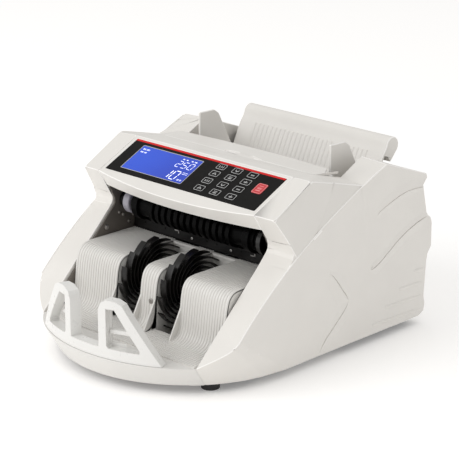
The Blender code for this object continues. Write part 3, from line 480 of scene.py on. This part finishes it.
def make_lip():
    """Bowed front lip of the bed, leaning out from its foot."""
    steps = 44
    loops = []
    for shrink, z in ((2.5, FLOOR_Z), (0.0, FLOOR_Z), (0.0, LIP_Z), (2.5, LIP_Z - 2.5)):
        up = (z - FLOOR_Z) / (LIP_Z - FLOOR_Z)
        limit = TOE_X + (SEAM_X - TOE_X) * up - 0.3 - shrink
        loop = []
        for i in range(steps + 1):
            x = -limit + 2 * limit * i / steps
            loop.append(at(x, base_y(x) + (lip_y(x) - base_y(x)) * up + shrink, z))
        heel = limit + (SEAM_X - TOE_X) * (1 - up) * 0.25
        rear = -100.0 - shrink * 0.4
        loops.append(loop + [at(heel, rear, z), at(-heel, rear, z)])
    bm = bmesh.new()
    rings = [[bm.verts.new(p) for p in loop] for loop in loops]
    count = len(rings[0])
    for a, b in ((0, 1), (1, 2), (3, 0)):
        for i in range(count):
            j = (i + 1) % count
            bm.faces.new((rings[a][i], rings[a][j], rings[b][j], rings[b][i]))
    for k in (2, 3):
        bm.faces.new(rings[k])
    lip = soften(shape("bed_lip", bm, M["bed"]), 1.3, 3, 40.0)
    mount(lip, "housing", "bed", "stacker_bed")


def make_bed():
    """Bed in three lanes between the wheel slots, with its walls and fins."""
    profile = bed_profile()
    floor = [Vector((-111.5, 34.6)), Vector((-124.0, 33.7)), Vector((-139.0, 32.5))]
    bm = bmesh.new()
    lanes = ((-BED_X, -SLOT[1]), (-SLOT[0], SLOT[0]), (SLOT[1], BED_X))
    for low, high in lanes:
        ribbed(bm, profile + floor[1:], low, high, RIB_PITCH, RIB_HEIGHT)
    for low, high in ((-SLOT[1], -SLOT[0]), (SLOT[0], SLOT[1])):
        ribbed(bm, [Vector((-98.8, 34.9)), Vector((-110.0, 34.75))] + floor[1:],
               low, high, RIB_PITCH, RIB_HEIGHT)
    bed = soften(shape("bed_ribs", bm, M["bed"]), 0.0)
    mount(bed, "housing", "bed", "stacker_bed")
    make_bed_walls(profile)
    make_bed_fins()


def make_bed_walls(profile):
    """Walls under the bed's lanes and the turned-down edge at its rear."""
    bm = bmesh.new()
    wall = [(p.x, p.y) for p in profile if p.x > -104.0]
    wall = [(y + 0.4, z - 0.5) for y, z in wall] + [(-98.0, 20.0), (BED_REAR, 20.0)]
    for x in (-BED_X, -SLOT[1] - WALL, -SLOT[0], SLOT[0] - WALL, SLOT[1], BED_X - WALL):
        prism(bm, wall, x, x + WALL)
    prism(bm, [(BED_REAR - 3.4, 91.6), (BED_REAR - 3.4, 94.3), (BED_REAR, 94.3),
               (BED_REAR, 20.0), (BED_REAR - 2.0, 20.0), (BED_REAR - 2.0, 91.6)],
          -BED_X + 0.1, BED_X - 0.1)
    walls = soften(shape("bed_walls", bm, M["bed"]), 0.0)
    mount(walls, "housing", "bed", "stacker_bed")


def make_bed_fins():
    """Low fins that stand out beside the slots at the foot of the bed."""
    bm = bmesh.new()
    fin = [(-95.2, 67.5), (-93.4, 67.5), (-95.5, 35.5), (-112.0, 33.0), (-112.5, 35.6)]
    for near in (-SLOT[1] - WALL, -SLOT[0], SLOT[0] - WALL, SLOT[1]):
        prism(bm, fin, near, near + WALL)
    fins = soften(shape("bed_fins", bm, M["bed"]), 0.45, 2)
    mount(fins, "housing", "bed", "stacker_bed")


STOP_POCKET = [(7.0, 82.0), (17.0, 82.5), (43.5, 46.0), (43.5, 42.5), (9.5, 42.5), (7.0, 45.0)]
STOP_BAR = [(8.0, 55.5), (31.5, 55.5), (28.5, 59.5), (8.0, 59.5)]


def stop_prism(bm, outline, side, near, far):
    """Extrude an (along, z) outline square to the chord of one A-frame."""
    a, b = Vector((22.0, lip_y(22.0) + 1.2)), Vector((86.0, lip_y(86.0) + 1.2))
    along = (b - a).normalized()
    back = Vector((-along.y, along.x))
    rings = []
    for offset in (near, far):
        spots = [a + along * s + back * offset for s, _ in outline]
        rings.append([at(side * p.x, p.y, z) for p, (_, z) in zip(spots, outline)])
    tube(bm, rings)


def make_stop():
    """White stop: each A-frame is a thin rim round a pocket with a crossbar behind."""
    pockets = []
    bars = bmesh.new()
    for side in (-1, 1):
        bm = bmesh.new()
        stop_prism(bm, STOP_POCKET, side, -15.0, 7.5)
        pockets.append(shape("stop_pocket", bm, M["stop"]))
        stop_prism(bars, STOP_BAR, side, 5.5, 10.5)
    refined("stacker_stop", M["stop"], 0.0, carve=pockets)
    crossbars = soften(shape("stop_crossbars", bars, M["stop"]), 0.5, 2)
    mount(crossbars, "housing", "stop")


HUB_R, TIP_R, BLADES = 11.0, 44.0, 16
BLADE_SWEEP, BLADE_STEPS = 2.9, 26
BLADE_RIM = ((-1, -0.6), (-1, 0.6), (-0.86, 1.0), (0.86, 1.0), (1, 0.6), (1, -0.6),
             (0.86, -1.0), (-0.86, -1.0))


def wheel_spot(radius, angle, x):
    """A point by its distance and angle from the finger wheels' shaft."""
    return at(x, STACKER[0] + radius * math.cos(angle),
              STACKER[1] + radius * math.sin(angle))


def make_blade(bm, start, mid, half):
    """One swept blade, thinner and narrower towards its tip."""
    rings = []
    for i in range(BLADE_STEPS + 1):
        u = i / BLADE_STEPS
        radius = HUB_R - 1.5 + (TIP_R - HUB_R + 1.5) * u
        angle = start - BLADE_SWEEP * u ** 0.8
        thick = 0.95 - 0.2 * u
        grow = 1.0 - 0.10 * u
        rings.append([wheel_spot(radius + dr * thick, angle, mid + dx * half * grow)
                      for dx, dr in BLADE_RIM])
    tube(bm, rings)


def make_impeller(name, low, high):
    """Finger wheel: a hub with swept rubber blades."""
    bm = bmesh.new()
    mid = (low + high) / 2
    half = (high - low) / 2
    for k in range(BLADES):
        make_blade(bm, k * 2 * math.pi / BLADES, mid, half)
    hub = [(-half, 4.6), (-half, 8.5), (-half + 0.8, 11.6), (half - 0.8, 11.6), (half, 8.5),
           (half, 4.6)]
    rings = []
    for i in range(40):
        angle = 2 * math.pi * i / 40
        rings.append([wheel_spot(radius, angle, mid + dx) for dx, radius in hub])
    tube(bm, rings, closed=True)
    wheel = soften(shape(f"{name}_wheel", bm, M["impeller"]), 0.0)
    mount(wheel, "stacker_rotor", "impeller", name)


# ------------------------------------------------------------------- keypad
PANEL_LOW, PANEL_TILT = (-54.6, 167.7), math.radians(25.25)
LCD_X, LCD_UP = (-88.0, -2.0), (6.8, 44.0)


def panel(u, v, h=0.0):
    """A point of the panel: across, up the slope and out of it, in mm."""
    return at(u, PANEL_LOW[0] + v * math.cos(PANEL_TILT) - h * math.sin(PANEL_TILT),
              PANEL_LOW[1] + v * math.sin(PANEL_TILT) + h * math.cos(PANEL_TILT))


def rounded(cu, cv, w, h, r, seg=4):
    """Outline of a rectangle with round corners, by its centre, size and radius."""
    out = []
    for k, (sx, sy) in enumerate(((1, 1), (-1, 1), (-1, -1), (1, -1))):
        for i in range(seg + 1):
            a = math.radians(90 * k + 90 * i / seg)
            out.append((cu + sx * (w / 2 - r) + r * math.cos(a),
                        cv + sy * (h / 2 - r) + r * math.sin(a)))
    return out


def plate(bm, outline, low, high):
    """Flat piece on the panel, from low to high above it."""
    tube(bm, [[panel(u, v, h) for u, v in outline] for h in (low, high)])


def frame_line(bm, cu, cv, w, h, r, line, low, high):
    """A rounded outline of even width."""
    outer = rounded(cu, cv, w, h, r)
    inner = rounded(cu, cv, w - 2 * line, h - 2 * line, max(r - line, 0.2))
    rings = []
    for (a, b), (c, d) in zip(outer, inner):
        rings.append([panel(a, b, low), panel(a, b, high), panel(c, d, high),
                      panel(c, d, low)])
    tube(bm, rings, closed=True)


def bar(bm, a, b, width, low, high):
    """A straight stroke from a to b."""
    a, b = Vector(a), Vector(b)
    side = (b - a).normalized()
    side = Vector((-side.y, side.x)) * width / 2
    plate(bm, [tuple(a - side), tuple(b - side), tuple(b + side), tuple(a + side)], low, high)


SEGMENTS = {"a": ((0.12, 1), (0.88, 1)), "b": ((1, 0.93), (1, 0.55)),
            "c": ((1, 0.45), (1, 0.07)), "d": ((0.12, 0), (0.88, 0)),
            "e": ((0, 0.45), (0, 0.07)), "f": ((0, 0.93), (0, 0.55)),
            "g": ((0.12, 0.5), (0.88, 0.5))}
DIGITS = {"0": "abcdef", "1": "bc", "2": "abged", "5": "afgcd"}
LCD_MARKS = (                         # centre across, mm below the top, width, height
    (-82.6, 5.0, 4.0, 2.0), (-77.4, 5.0, 4.0, 2.0), (-82.6, 9.4, 4.0, 1.7),
    (-77.6, 9.4, 3.4, 1.7), (-10.2, 23.0, 3.2, 3.6), (-6.4, 23.0, 3.2, 3.6),
    (-9.4, 33.0, 2.8, 2.0), (-6.0, 33.0, 2.4, 2.0), (-26.0, 4.4, 2.4, 1.2),
    (-21.0, 4.4, 2.4, 1.2), (-14.0, 4.4, 2.4, 1.2), (-9.0, 4.4, 3.0, 1.2))


def digit(bm, char, u, v, w, h, width, low, high, slant=0.12):
    """One leaning seven-segment digit."""
    for name in DIGITS[char]:
        (a, b), (c, d) = SEGMENTS[name]
        start = (u + a * w + slant * b * h, v + b * h)
        end = (u + c * w + slant * d * h, v + d * h)
        bar(bm, start, end, width, low, high)


def make_display():
    """Blue window with its printed outline."""
    lens = soften(shape("lcd_lens", cad_copy("lcd_window"), M["lens"]), 0.25, 2)
    mount(lens, "housing", "lens", "lcd_window")
    bm = bmesh.new()
    cu, cv = sum(LCD_X) / 2, sum(LCD_UP) / 2
    frame_line(bm, cu, cv, 86.6, 37.8, 1.2, 0.55, -0.5, 0.12)
    edge = shape("lcd_outline", bm, M["ink"])
    mount(edge, "housing", "overlay")


def make_marks():
    """Digits and plain strokes that the display shows."""
    bm = bmesh.new()
    top, low, high = LCD_UP[1], -0.3, 0.06
    for i, char in enumerate("250"):
        digit(bm, char, -29.5 + 8.2 * i, top - 16.4, 5.6, 8.8, 0.55, low, high)
    digit(bm, "1", -31.2, top - 34.3, 5.6, 12.6, 0.9, low, high)
    digit(bm, "0", -22.3, top - 34.3, 7.2, 12.6, 0.9, low, high)
    for u, drop, w, h in LCD_MARKS:
        v = top - drop
        for lift in (-0.3, 0.3):
            bar(bm, (u - w / 2, v + lift * h), (u + w / 2, v + lift * h), 0.45, low, high)
    marks = shape("lcd_segments", bm, M["digits"])
    mount(marks, "housing", "lcd")


KEY_X, KEY_UP = (23.4, 44.6, 65.7), (43.3, 32.2, 20.6, 8.8)
GLYPHS = (
    (((-2.4, 0), (2.4, 0)), ((0, -1.8), (0, 1.8))),
    (((-2.2, -1.2), (2.2, -1.2)), ((-2.2, 1.2), (2.2, 1.2))),
    (((-2.4, -1.4), (0, 1.6)), ((0, 1.6), (2.4, -1.4))),
    (((-2.4, 0), (2.4, 0)),),
    (((-2.4, 1.4), (0, -1.6)), ((0, -1.6), (2.4, 1.4))),
    (((-2.6, -1.5), (-2.6, 1.5)), ((0, -1.5), (0, 1.5)), ((2.6, -1.5), (2.6, 1.5))),
)


def make_keys():
    """Twelve black keys in four rows of three and the red start key."""
    number = 0
    for v in KEY_UP:
        for u in KEY_X:
            number += 1
            make_key(f"key_{number:02d}", u, v, 12.6, 8.8, M["key"], M["ink"],
                     GLYPHS[(number * 5) % len(GLYPHS)])
    cross = (((-3, 3.4), (3, 3.4)), ((-3, 0), (3, 0)), ((-3, -3.4), (3, -3.4)))
    make_key("start_key", 86.7, 29.0, 12.6, 14.6, M["start"], M["pink_ink"], cross)


def make_key(node, u, v, w, h, mat, ink, glyph):
    """Film key with its printed outline and a plain symbol that move with it."""
    cap = soften(shape(f"{node}_cap", cad_copy(node), mat), 0.3, 2)
    mount(cap, body_of(node), slot_of(node), node)
    bm = bmesh.new()
    frame_line(bm, u, v, w - 0.9, h - 0.9, 1.5, 0.55, 0.12, 0.26)
    for a, b in glyph:
        bar(bm, (u + a[0], v + a[1]), (u + b[0], v + b[1]), 0.7, 0.12, 0.25)
        bar(bm, (u + a[0] * 0.8 - 0.4, v + a[1] * 0.55 - 0.9),
            (u + b[0] * 0.8 + 0.4, v + b[1] * 0.55 - 0.9), 0.45, 0.12, 0.24)
    print_ = shape(f"{node}_print", bm, ink)
    mount(print_, body_of(node), slot_of(node))


def make_overlay():
    """Black panel film with the red stripe across it."""
    film = soften(shape("overlay_film", cad_copy("panel_overlay"), M["overlay"]), 0.0)
    mount(film, "housing", "overlay", "panel_overlay")
    bm = bmesh.new()
    plate(bm, [(-103.9, 48.0), (103.9, 48.0), (103.9, 50.6), (-103.9, 50.6)], -0.2, 0.12)
    stripe = soften(shape("overlay_stripe", bm, M["stripe"]), 0.08, 1)
    mount(stripe, "housing", "overlay")


# -------------------------------------------------------------- side covers
CHEVRON = [(18.0, 93.5), (19.0, 92.7), (25.7, 85.7), (36.0, 73.4), (49.2, 57.4),
           (49.4, 56.2), (41.6, 47.4), (29.0, 35.9), (16.6, 24.3), (10.6, 15.4), (10.2, 11.0)]
FENDER = [(80.5, 84.0), (83.6, 81.6), (93.9, 86.0), (108.7, 95.2), (123.7, 104.4),
          (138.9, 111.5), (154.4, 116.5), (168.0, 119.0)]
UPPER = [(84.0, 138.0), (91.5, 142.9), (109.8, 149.2), (125.0, 153.2), (140.7, 154.6),
         (162.0, 153.0)]
# the ridge bead takes the lighter edge colour as a painted highlight line
RIDGE_X, RIDGE_R = 141.1, 0.6         # the bead along the ridge
RIDGE = ((93.6, 188.2), (-36.7, 137.4), (-112.3, 59.5))
RIBS = ((19.8, 89.9), (34.2, 108.4), (48.4, 129.4), (62.3, 152.2))


def sweep(tree, points, side, profile, fade):
    """Rings of a raised strip that follows (y, z) points on the side wall.

    The profile is (across, out) in mm; it thins out over fade mm at both ends."""
    path = curve_through(points, 4)
    rings = []
    last = len(path) - 1
    gone = [0.0]
    for a, b in zip(path, path[1:]):
        gone.append(gone[-1] + (b - a).length)
    for i, p in enumerate(path):
        a, b = path[max(i - 1, 0)], path[min(i + 1, last)]
        along = Vector((0.0, b.x - a.x, b.y - a.y)).normalized()
        start = at(side * 200.0, p.x, p.y)
        hit, normal, _, _ = tree.ray_cast(start, Vector((-side, 0.0, 0.0)))
        if hit is None:
            hit, normal = at(side * 136.0, p.x, p.y), Vector((side, 0.0, 0.0))
        across = normal.cross(along).normalized() * side
        grow = min(1.0, 0.1 + min(gone[i], gone[-1] - gone[i]) / fade)
        ring = []
        for s, d in profile:
            out = normal * (d if d < 0 else d * grow)
            ring.append(hit + (across * s * (0.4 + 0.6 * grow) + out) * MM)
        rings.append(ring)
    return rings


def bezier(points, t):
    """Point at t on the quadratic curve with these three control points."""
    a, b, c = (Vector(p) for p in points)
    return a * (1 - t) ** 2 + b * (2 * t * (1 - t)) + c * t * t


def pipe(bm, line, radius, count=8):
    """Thin round bead along a line of (x, y, z) points that lie in one x plane."""
    out = Vector((1.0, 0.0, 0.0))
    rings = []
    for i, p in enumerate(line):
        a, b = line[max(i - 1, 0)], line[min(i + 1, len(line) - 1)]
        up = (Vector(b) - Vector(a)).normalized().cross(out)
        ring = []
        for k in range(count):
            turn = k * math.tau / count
            ring.append(at(*(Vector(p) + (out * math.cos(turn) + up * math.sin(turn))
                             * radius)))
        rings.append(ring)
    tube(bm, rings)


def wedge(start, width, height):
    """Profile of a surface that rises to a small step, start mm away from the line;
    the sign of width picks the side of the line."""
    start *= math.copysign(1.0, width)
    return [(start, -0.8), (start, height * 0.7), (start + width * 0.03, height),
            (start + width * 0.4, height * 0.62), (start + width * 0.75, height * 0.2),
            (start + width, -0.1), (start + width, -0.8)]


BEAD = [(-1.9, -0.8), (-1.9, 0.0), (-1.2, 0.65), (-0.4, 0.9), (0.4, 0.9), (1.2, 0.65),
        (1.9, 0.0), (1.9, -0.8)]


def make_side_cover(node, side):
    """Side cover with soft shallow creases, edges and a ridge bead in a lighter colour as
    painted highlights, and raised lines.
    """
    bm = cad_copy(node)
    tree = BVHTree.FromBMesh(bm)
    bm.free()
    cover = shape(f"{node}_moulded", cad_copy(node), M["housing"])
    round_edges(cover, 2.0, 4, 9.0, 24.0)
    settle(cover)
    mount(soften(cover, 0.9, 3, 24.0), "housing", "housing", node)
    line = [bezier(RIDGE, i / 30) for i in range(31)]
    bm = bmesh.new()
    pipe(bm, [(side * RIDGE_X, y, z + 0.15) for y, z in line], RIDGE_R)
    # painted highlight: the ridge bead is drawn in the lighter edge colour
    ridge = soften(shape(f"{node}_ridge", bm, M["edge"]), 0.0)
    mount(ridge, "housing", "housing")
    make_relief(node, side, tree)


def make_relief(node, side, tree):
    """The chevron, the two arcs and the four beads raised on a side cover."""
    bm = bmesh.new()
    for points, width, height in ((CHEVRON[:5], -13.0, 1.2), (CHEVRON[5:], 12.0, 1.2),
                                  (FENDER, -10.0, 1.2), (UPPER, 10.0, 0.8)):
        tube(bm, sweep(tree, points, side, wedge(0.0, width, height), 12.0))
        tube(bm, sweep(tree, points, side, wedge(0.9, -width * 0.6, height * 0.8), 6.0))
    for z, y in RIBS:
        line = [(y, z), (y + 1.0, z), (y + 12.0, z - 0.6), (168.0, z - 0.04 * (168 - y))]
        tube(bm, sweep(tree, line, side, BEAD, 2.5))
    relief = soften(shape(f"{node}_relief", bm, M["housing"]), 0.0)
    mount(relief, "housing", "housing")


# ------------------------------------------------------------ head and hopper
def finger_pocket():
    """Cutter for the shallow lens-shaped recess that lets a finger lift the flap."""
    bm = bmesh.new()
    rings = []
    steps, top = 24, 187.2
    for i in range(steps + 1):
        t = -1 + 2 * i / steps
        x = 10.0 + 27.5 * t
        middle = 28.4 - 1.9 * t
        half = 6.2 * (1 - t * t) ** 0.75 + 0.05
        rings.append([at(x, middle - half, top + 3.0), at(x, middle + half, top + 3.0),
                      at(x, middle + half, top - 0.6), at(x, middle + half * 0.5, top - 1.9),
                      at(x, middle - half * 0.5, top - 1.9), at(x, middle - half, top - 0.6)])
    tube(bm, rings)
    return shape("finger_pocket", bm, M["housing"])


def make_head():
    """Head cover and feeder flap, with the finger recess carved out of both."""
    refined("head_cover", M["housing"], 0.8, 3, 24.0, carve=[finger_pocket()])
    refined("feeder_flap", M["housing"], 0.5, 2, carve=[finger_pocket()])


def make_tray():
    """Hopper tray with the short ribs on its rear wall."""
    refined("hopper_tray", M["housing"], 1.0, 3)
    bm = bmesh.new()
    wall = curve_through([(127.2, 156.4), (129.4, 159.2), (139.3, 180.0), (141.2, 182.8)], 3)
    for k in range(27):
        x = -78.0 + 6.0 * k
        rings = []
        for i, p in enumerate(wall):
            a, b = wall[max(i - 1, 0)], wall[min(i + 1, len(wall) - 1)]
            along = (b - a).normalized()
            out = Vector((-along.y, along.x))
            lift = 0.5 if 0 < i < len(wall) - 1 else 0.1
            ring = []
            for dx, h in ((-2.1, -0.4), (-0.7, lift), (0.7, lift), (2.1, -0.4)):
                ring.append(at(x + dx, *(p + out * h)))
            rings.append(ring)
        tube(bm, rings)
    ribs = soften(shape("tray_ribs", bm, M["housing"]), 0.0)
    mount(ribs, "housing", "housing")


# ------------------------------------------------------------- under the head
def disc(bm, centre, axis, profile, segments=24):
    """Turned shape about an axis; profile is (along, radius) in mm."""
    axis = Vector(axis).normalized()
    u = axis.orthogonal().normalized()
    v = axis.cross(u)
    rings = []
    for i in range(segments):
        a = 2 * math.pi * i / segments
        ring = []
        for along, radius in profile:
            ring.append(at(*(Vector(centre) + axis * along
                             + (u * math.cos(a) + v * math.sin(a)) * radius)))
        rings.append(ring)
    loops = [[bm.verts.new(p) for p in ring] for ring in rings]
    for i in range(segments):
        a, b = loops[i], loops[(i + 1) % segments]
        for j in range(len(profile) - 1):
            bm.faces.new((a[j], a[j + 1], b[j + 1], b[j]))
    for k in (0, -1):
        bm.faces.new([loop[k] for loop in loops])


def make_plate_screws():
    """Five small screws on the inner face of each side plate."""
    bm = bmesh.new()
    head = [(0.0, 1.9), (0.9, 1.8), (1.4, 1.2), (1.4, 0.7), (0.8, 0.6)]
    for side in (-1, 1):
        for y, z, size in ((-20.8, 102.6, 1.0), (-28.5, 111.5, 1.0), (-51.9, 102.9, 1.5),
                           (-34.0, 115.0, 0.9), (-14.0, 108.5, 0.9)):
            profile = [(a, r * size) for a, r in head]
            disc(bm, (side * 107.2, y, z), (-side, 0, 0), profile, 20)
    screws = soften(shape("plate_screws", bm, M["steel"]), 0.0)
    mount(screws, "housing", "steel")


def make_collar():
    """Grey nylon collar on the left end of the exit shaft."""
    bm = bmesh.new()
    disc(bm, (-98.0, -25.5, 128.0), (1, 0, 0),
         [(0.0, 4.4), (0.0, 11.4), (0.8, 12.4), (8.2, 12.4), (9.0, 11.4), (9.0, 4.4)], 32)
    collar = soften(shape("exit_collar", bm, M["nylon"]), 0.0)
    mount(collar, "exit_rotor", slot_of("exit_roller"))


BAR_FRONT = -13.3
CLIPS = ((-46.0, 104.2, -40.0, 105.6), (-40.8, 102.2, -39.6, 105.6),
         (61.0, 102.0, 67.2, 103.2), (66.0, 102.0, 67.4, 105.4))


def make_sensor_bar():
    """Black bar across the throat with two clips, two screws and six sensor eyes."""
    refined("sensor_bar", M["black"], 0.6, 2)
    bm = bmesh.new()
    for x0, z0, x1, z1 in CLIPS:
        tube(bm, [[at(x, BAR_FRONT + dy, z) for dy, z in
                   ((0.2, z0), (-0.5, z0 + 0.15), (-0.5, z1 - 0.15), (0.2, z1))]
                  for x in (x0, x1)])
    for x in (-21.3, 33.7):
        disc(bm, (x, BAR_FRONT, 101.0), (0, -1, 0), [(0.0, 1.5), (0.4, 1.4), (0.7, 0.9)], 16)
    clips = soften(shape("sensor_clips", bm, M["bracket"]), 0.0)
    mount(clips, "housing", "steel")
    bm = bmesh.new()
    for x in (-90.0, -60.0, 0.0, 14.0, 48.0, 86.0):
        disc(bm, (x, BAR_FRONT, 103.0), (0, -1, 0), [(0.0, 1.1), (0.35, 0.9), (0.6, 0.3)], 14)
    eyes = soften(shape("sensor_eyes", bm, M["overlay"]), 0.0)
    mount(eyes, "housing", "black")


# --------------------------------------------------------------- everything
ROUNDED = {                       # node: (finish, edge radius, segments)
    "note_guide_left": ("housing", 0.8, 3), "note_guide_right": ("housing", 0.8, 3),
    "mains_inlet": ("black", 0.6, 2),
    "switch_case": ("black", 0.5, 2), "power_switch": ("black", 0.5, 2),
    "gap_knob": ("black", 0.5, 2), "foot_front_left": ("rubber", 0.8, 3),
    "foot_front_right": ("rubber", 0.8, 3), "foot_rear_left": ("rubber", 0.8, 3),
    "foot_rear_right": ("rubber", 0.8, 3), "transformer": ("iron", 1.2, 2),
    "bed_screw": ("steel", 0.25, 2), "exit_roller": ("roller", 0.35, 2),
    "pinch_roller": ("roller", 0.35, 2), "feed_roller": ("roller", 0.35, 2),
    "pickup_roller": ("roller", 0.35, 2), "motor": ("motor", 0.8, 2),
}
PLAIN = {                             # nodes that keep their CAD mesh: finish
    "base_pan": "plate", "bearing_left": "black", "bearing_right": "black",
    "exit_belt": "rubber", "feed_belt": "rubber", "stacker_belt": "rubber",
    "feed_pulley": "steel", "motor_pulley": "steel", "stacker_pulley": "steel",
    "stacker_shaft": "steel", "key_board": "board", "main_board": "board",
    "lcd_module": "lens", "retard_bracket": "bracket", "retard_pad": "rubber",
    "side_plate_left": "plate", "side_plate_right": "plate",
}


def make_machine():
    """All pieces that stand for the nodes of the CAD."""
    for node, (look, width, segments) in ROUNDED.items():
        refined(node, M[look], width, segments)
    for node, look in PLAIN.items():
        obj = frame["nodes"][node]
        obj.data.materials.clear()
        obj.data.materials.append(M[look])
    make_side_cover("side_cover_left", -1)
    make_side_cover("side_cover_right", 1)
    make_head()
    make_tray()
    refined("rear_cover", M["housing"], 0.8, 3, join=0.0)
    make_lip()
    make_bed()
    make_stop()
    make_impeller("impeller_right", 12.5, 21.5)
    make_impeller("impeller_left", -43.5, -34.5)
    make_overlay()
    make_display()
    make_marks()
    make_keys()
    make_plate_screws()
    make_collar()
    make_sensor_bar()


# -------------------------------------------------------------------- studio
def make_floor():
    """Wide pale floor."""
    mat = finish("studio_floor", srgb(252, 251, 250), 0.9, 0.002, cloud=2.0, grain=60.0,
                 bump=0.02, Specular_IOR_Level=0.0, Emission_Strength=0.17,
                 Emission_Color=(1.0, 1.0, 1.0, 1.0))
    bm = bmesh.new()
    sides = 48
    turns = [math.tau * i / sides for i in range(sides)]
    centre = bm.verts.new((0.0, 0.0, 0.0))
    loops = [[bm.verts.new((radius * math.cos(a), radius * math.sin(a), 0.0)) for a in turns]
             for radius in (1.5, 6.0, 20.0)]
    for i in range(sides):
        j = (i + 1) % sides
        bm.faces.new((centre, loops[0][i], loops[0][j]))
        for a, b in zip(loops, loops[1:]):
            bm.faces.new((a[i], b[i], b[j], a[j]))
    floor = shape("studio_floor", bm, mat)


def area_light(name, place, target, size, energy):
    """White disc light at place that faces target."""
    data = bpy.data.lights.new(name, "AREA")
    data.shape, data.size, data.energy = "DISK", size, energy
    light = bpy.data.objects.new(name, data)
    bpy.context.scene.collection.objects.link(light)
    light.location = place
    light.rotation_mode = "QUATERNION"
    light.rotation_quaternion = (Vector(place) - Vector(target)).to_track_quat("Z", "Y")


def make_studio():
    """Pale sky, a large key light and a small top light, and the camera."""
    scene = bpy.context.scene
    scene.view_settings.view_transform = "Standard"
    world = bpy.data.worlds.new("studio")
    scene.world = world
    world.use_nodes = True
    sky = world.node_tree.nodes["Background"]
    sky.inputs["Color"].default_value = (1.0, 0.995, 0.985, 1.0)
    sky.inputs["Strength"].default_value = 0.70
    area_light("key", (-1.2, -2.6, 1.9), (0, 0, 0.1), 2.8, 44)
    area_light("top", (0.2, 0.3, 2.6), (0, 0, 0.1), 2.2, 6)
    make_camera(scene)


def make_camera(scene):
    """Camera with a long lens at the front right, a little above the machine."""
    data = bpy.data.cameras.new("camera")
    camera = bpy.data.objects.new("camera", data)
    scene.collection.objects.link(camera)
    back = Vector((math.sin(AZIMUTH) * math.cos(ELEVATION),
                   -math.cos(AZIMUTH) * math.cos(ELEVATION), math.sin(ELEVATION)))
    camera.location = CAMERA
    camera.rotation_mode = "QUATERNION"
    camera.rotation_quaternion = back.to_track_quat("Z", "Y")
    data.sensor_width, data.lens = SENSOR, LENS
    data.clip_start, data.clip_end = 0.05, 100.0
    scene.camera = camera


make_machine()
make_floor()
make_studio()
bpy.context.view_layer.update()
